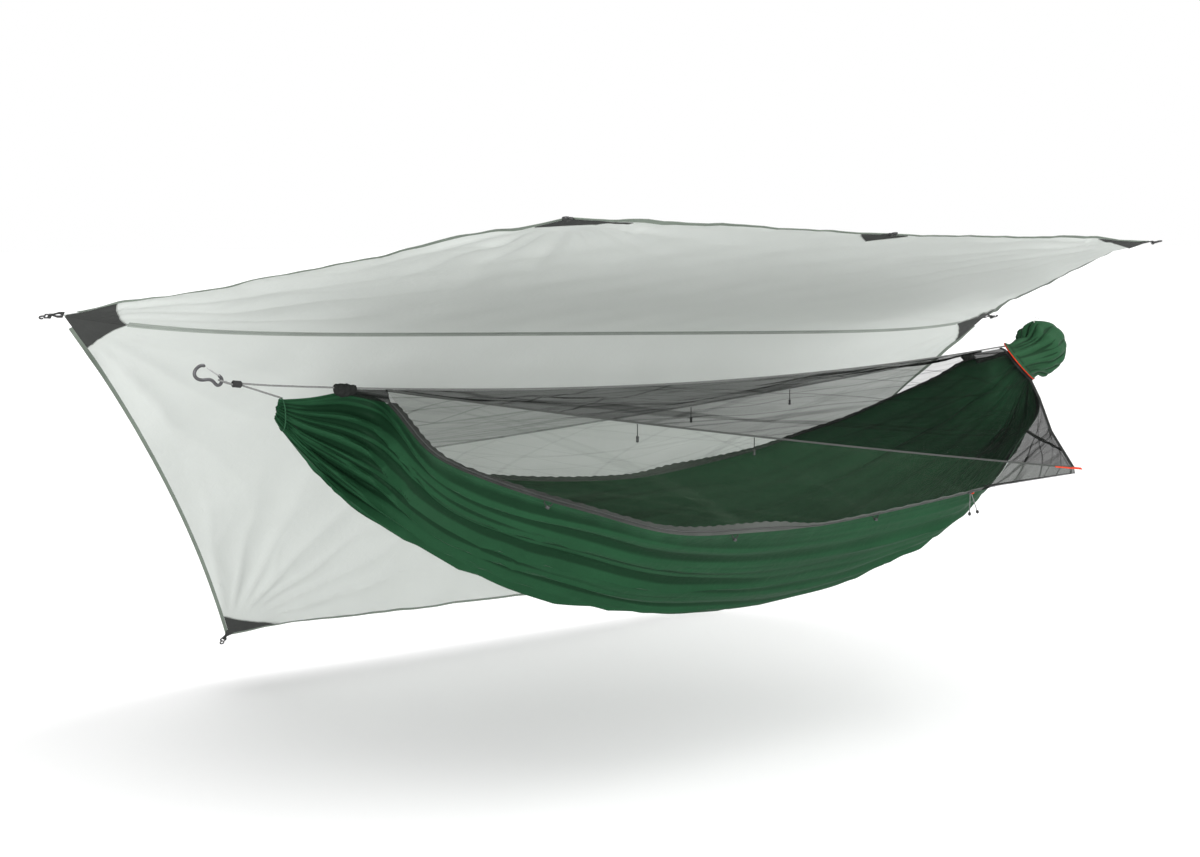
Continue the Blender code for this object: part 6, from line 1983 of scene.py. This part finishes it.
def sack_place(share, high, wide, angle):
    up = np.array((-SACK_AXIS[2], 0, SACK_AXIS[0])) * SACK_HEIGHT / 2
    front = -SIDEWAYS * SACK_WIDTH / 2
    square = smooth_step(share / SACK_SQUARE_SHARE)[..., None]
    up = SACK_MOUTH_UP * (1 - square) + up * square
    front = SACK_MOUTH_FRONT * (1 - square) + front * square
    centre = SACK_MOUTH + (SACK_END - SACK_MOUTH) * share[..., None]
    ring = up * (high * np.sin(angle))[..., None] + front * (wide * np.cos(angle))[..., None]
    return centre + ring


def sack_scale(share, angle):
    """Pleats behind the mouth, a waist, creases, dents and the drawn tail."""
    bend = 0.35 * np.sin(angle * 2 + 1.3) + 0.2 * np.sin(angle + share * 5)
    low_side = 0.5 - 0.5 * np.sin(angle)
    pleats = 0.3 + 0.7 * (1 - low_side) + 0.6 * folds(angle * 9 + bend * 3, 0.8)
    waist = bell(share, 0.09, 0.30) * (1 - low_side) ** 3
    scale = 1 - SACK_SLIM - SACK_PLEAT * bell(share, 0.15, 0.16) * pleats - SACK_WAIST * waist
    scale = scale + SACK_BULGE * low_side**2 * bell(share, 0.25, 0.30)
    creases = folds(angle * 11 + 5 * bend + share * 5, 0.9)
    scale = scale + SACK_CREASE * creases * np.sin(math.pi * share) ** 0.7
    fan = folds(angle * 16 + 4 * bend - share * 3, 0.7) * bell(share, 0.16, 0.36)
    scale = scale + SACK_FAN * fan * (1.2 - low_side)
    drawn = 0.5 - 0.5 * folds(angle * 7 + bend * 2, 0.7)
    scale = scale - SACK_TAIL * smooth_step((share - 0.62) / 0.3) * drawn
    dents = np.sin(angle * 3 + share * 7 + 0.6) * np.sin(share * 9 + 0.5)
    dents = dents + 0.6 * np.sin(angle * 5 - share * 11)
    scale = scale + SACK_DENT * dents * np.sin(math.pi * np.clip(share, 0, 1)) - SACK_SLIM
    at_mouth = smooth_step(share / SACK_MOUTH_SHARE)
    return np.where(share < SACK_MOUTH_SHARE, 1.0 - (1 - scale) * at_mouth, scale)


def build_sack():
    t, angle = np.meshgrid(np.linspace(0, 1, 90), np.linspace(0, TAU, 129), indexing="ij")
    share, high, wide = np.moveaxis(sack_profile(t), -1, 0)
    scale = sack_scale(share, angle)
    grid = sack_place(share * (1 - 0.10 * share), high * scale, wide * scale, angle)
    centre = grid[-1, :-1].mean(axis=0)
    sunk = -SACK_AXIS * SACK_CLOSING_DEPTH
    rows = [centre + (grid[-1] - centre) * share + sunk * (1 - share) for share in SACK_CLOSING]
    grid = np.concatenate([grid, rows])
    sack = shell("stuff_sack_cloth", grid, SACK_WALL, SACK_GREEN, weld=True)
    carried(sack, "hammock", "green_cloth", "stuff_sack")
    back = -SACK_AXIS * (TRIM_CORD / 2 + TRIM_GAP + SACK_WALL / 2)
    angle, zero = round_about(160), np.zeros(160)
    rim = sack_place(zero, zero + 1, zero + 1, angle) + back
    crimp = 1 + 0.10 * np.sin(angle * 26) + 0.05 * np.sin(angle * 41)
    trim = tube("sack_trim", rim, TRIM_CORD / 2 * crimp, RED, 12, closed=True)
    carried(trim, "hammock", "red_web", "sack_mouth_trim")
    before, after = (
        sack_place(*(np.array(q) for q in SACK_RING_SHARES[i]), np.array(TAU / 4)) for i in (2, 3)
    )
    along = unit(after - before)
    lift = np.cross(along, SIDEWAYS)
    lift *= math.copysign(1, lift[2])
    top = before + (after - before) * LOOP_AT_SHARE + lift * (SACK_WALL / 2 + LOOP_RISE)
    turn = np.linspace(0, math.pi, 40)[:, None]
    path = top + (along * np.cos(turn) + lift * np.sin(turn)) * LOOP_HALF
    loop = braided("sack_draw_loop", path, LOOP_CORD, WHITE_CORD)
    carried(loop, "hammock", "white_cord", "sack_cord_loop")


def build_hammock():
    cloth, area = build_cloth()
    for label, turn in (("front", np.asarray), ("back", half_turn)):
        build_zip(label, turn)
        build_net(label, turn)
        build_wing(label, turn)
        build_slider(label, turn)
        build_pullout(label, turn)
        for number, share in enumerate(TOGGLE_SHARES, 1):
            build_toggle(label, number, share, turn)
    for number, x in enumerate(TIE_LOOP_X, 1):
        build_tie_loop(number, x)
    build_cinch("left")
    build_cinch("right")
    left = carabiner_axes(CARABINER_AT, CARABINER_LEAN_DEG, False)
    right = carabiner_axes(STOWED_AT, STOWED_LEAN_DEG, True)
    build_carabiner("left", left)
    build_carabiner("right", right)
    build_left_cords(left)
    build_right_cords(right)
    build_ridge_cord()
    build_bundle()
    tapered_net()
    build_sack()


bpy.context.scene.view_settings.view_transform = "Standard"
build_camera()
build_world()
for lamp in SUNS:
    sun(*lamp)
build_floor()
build_tarp()
build_hammock()
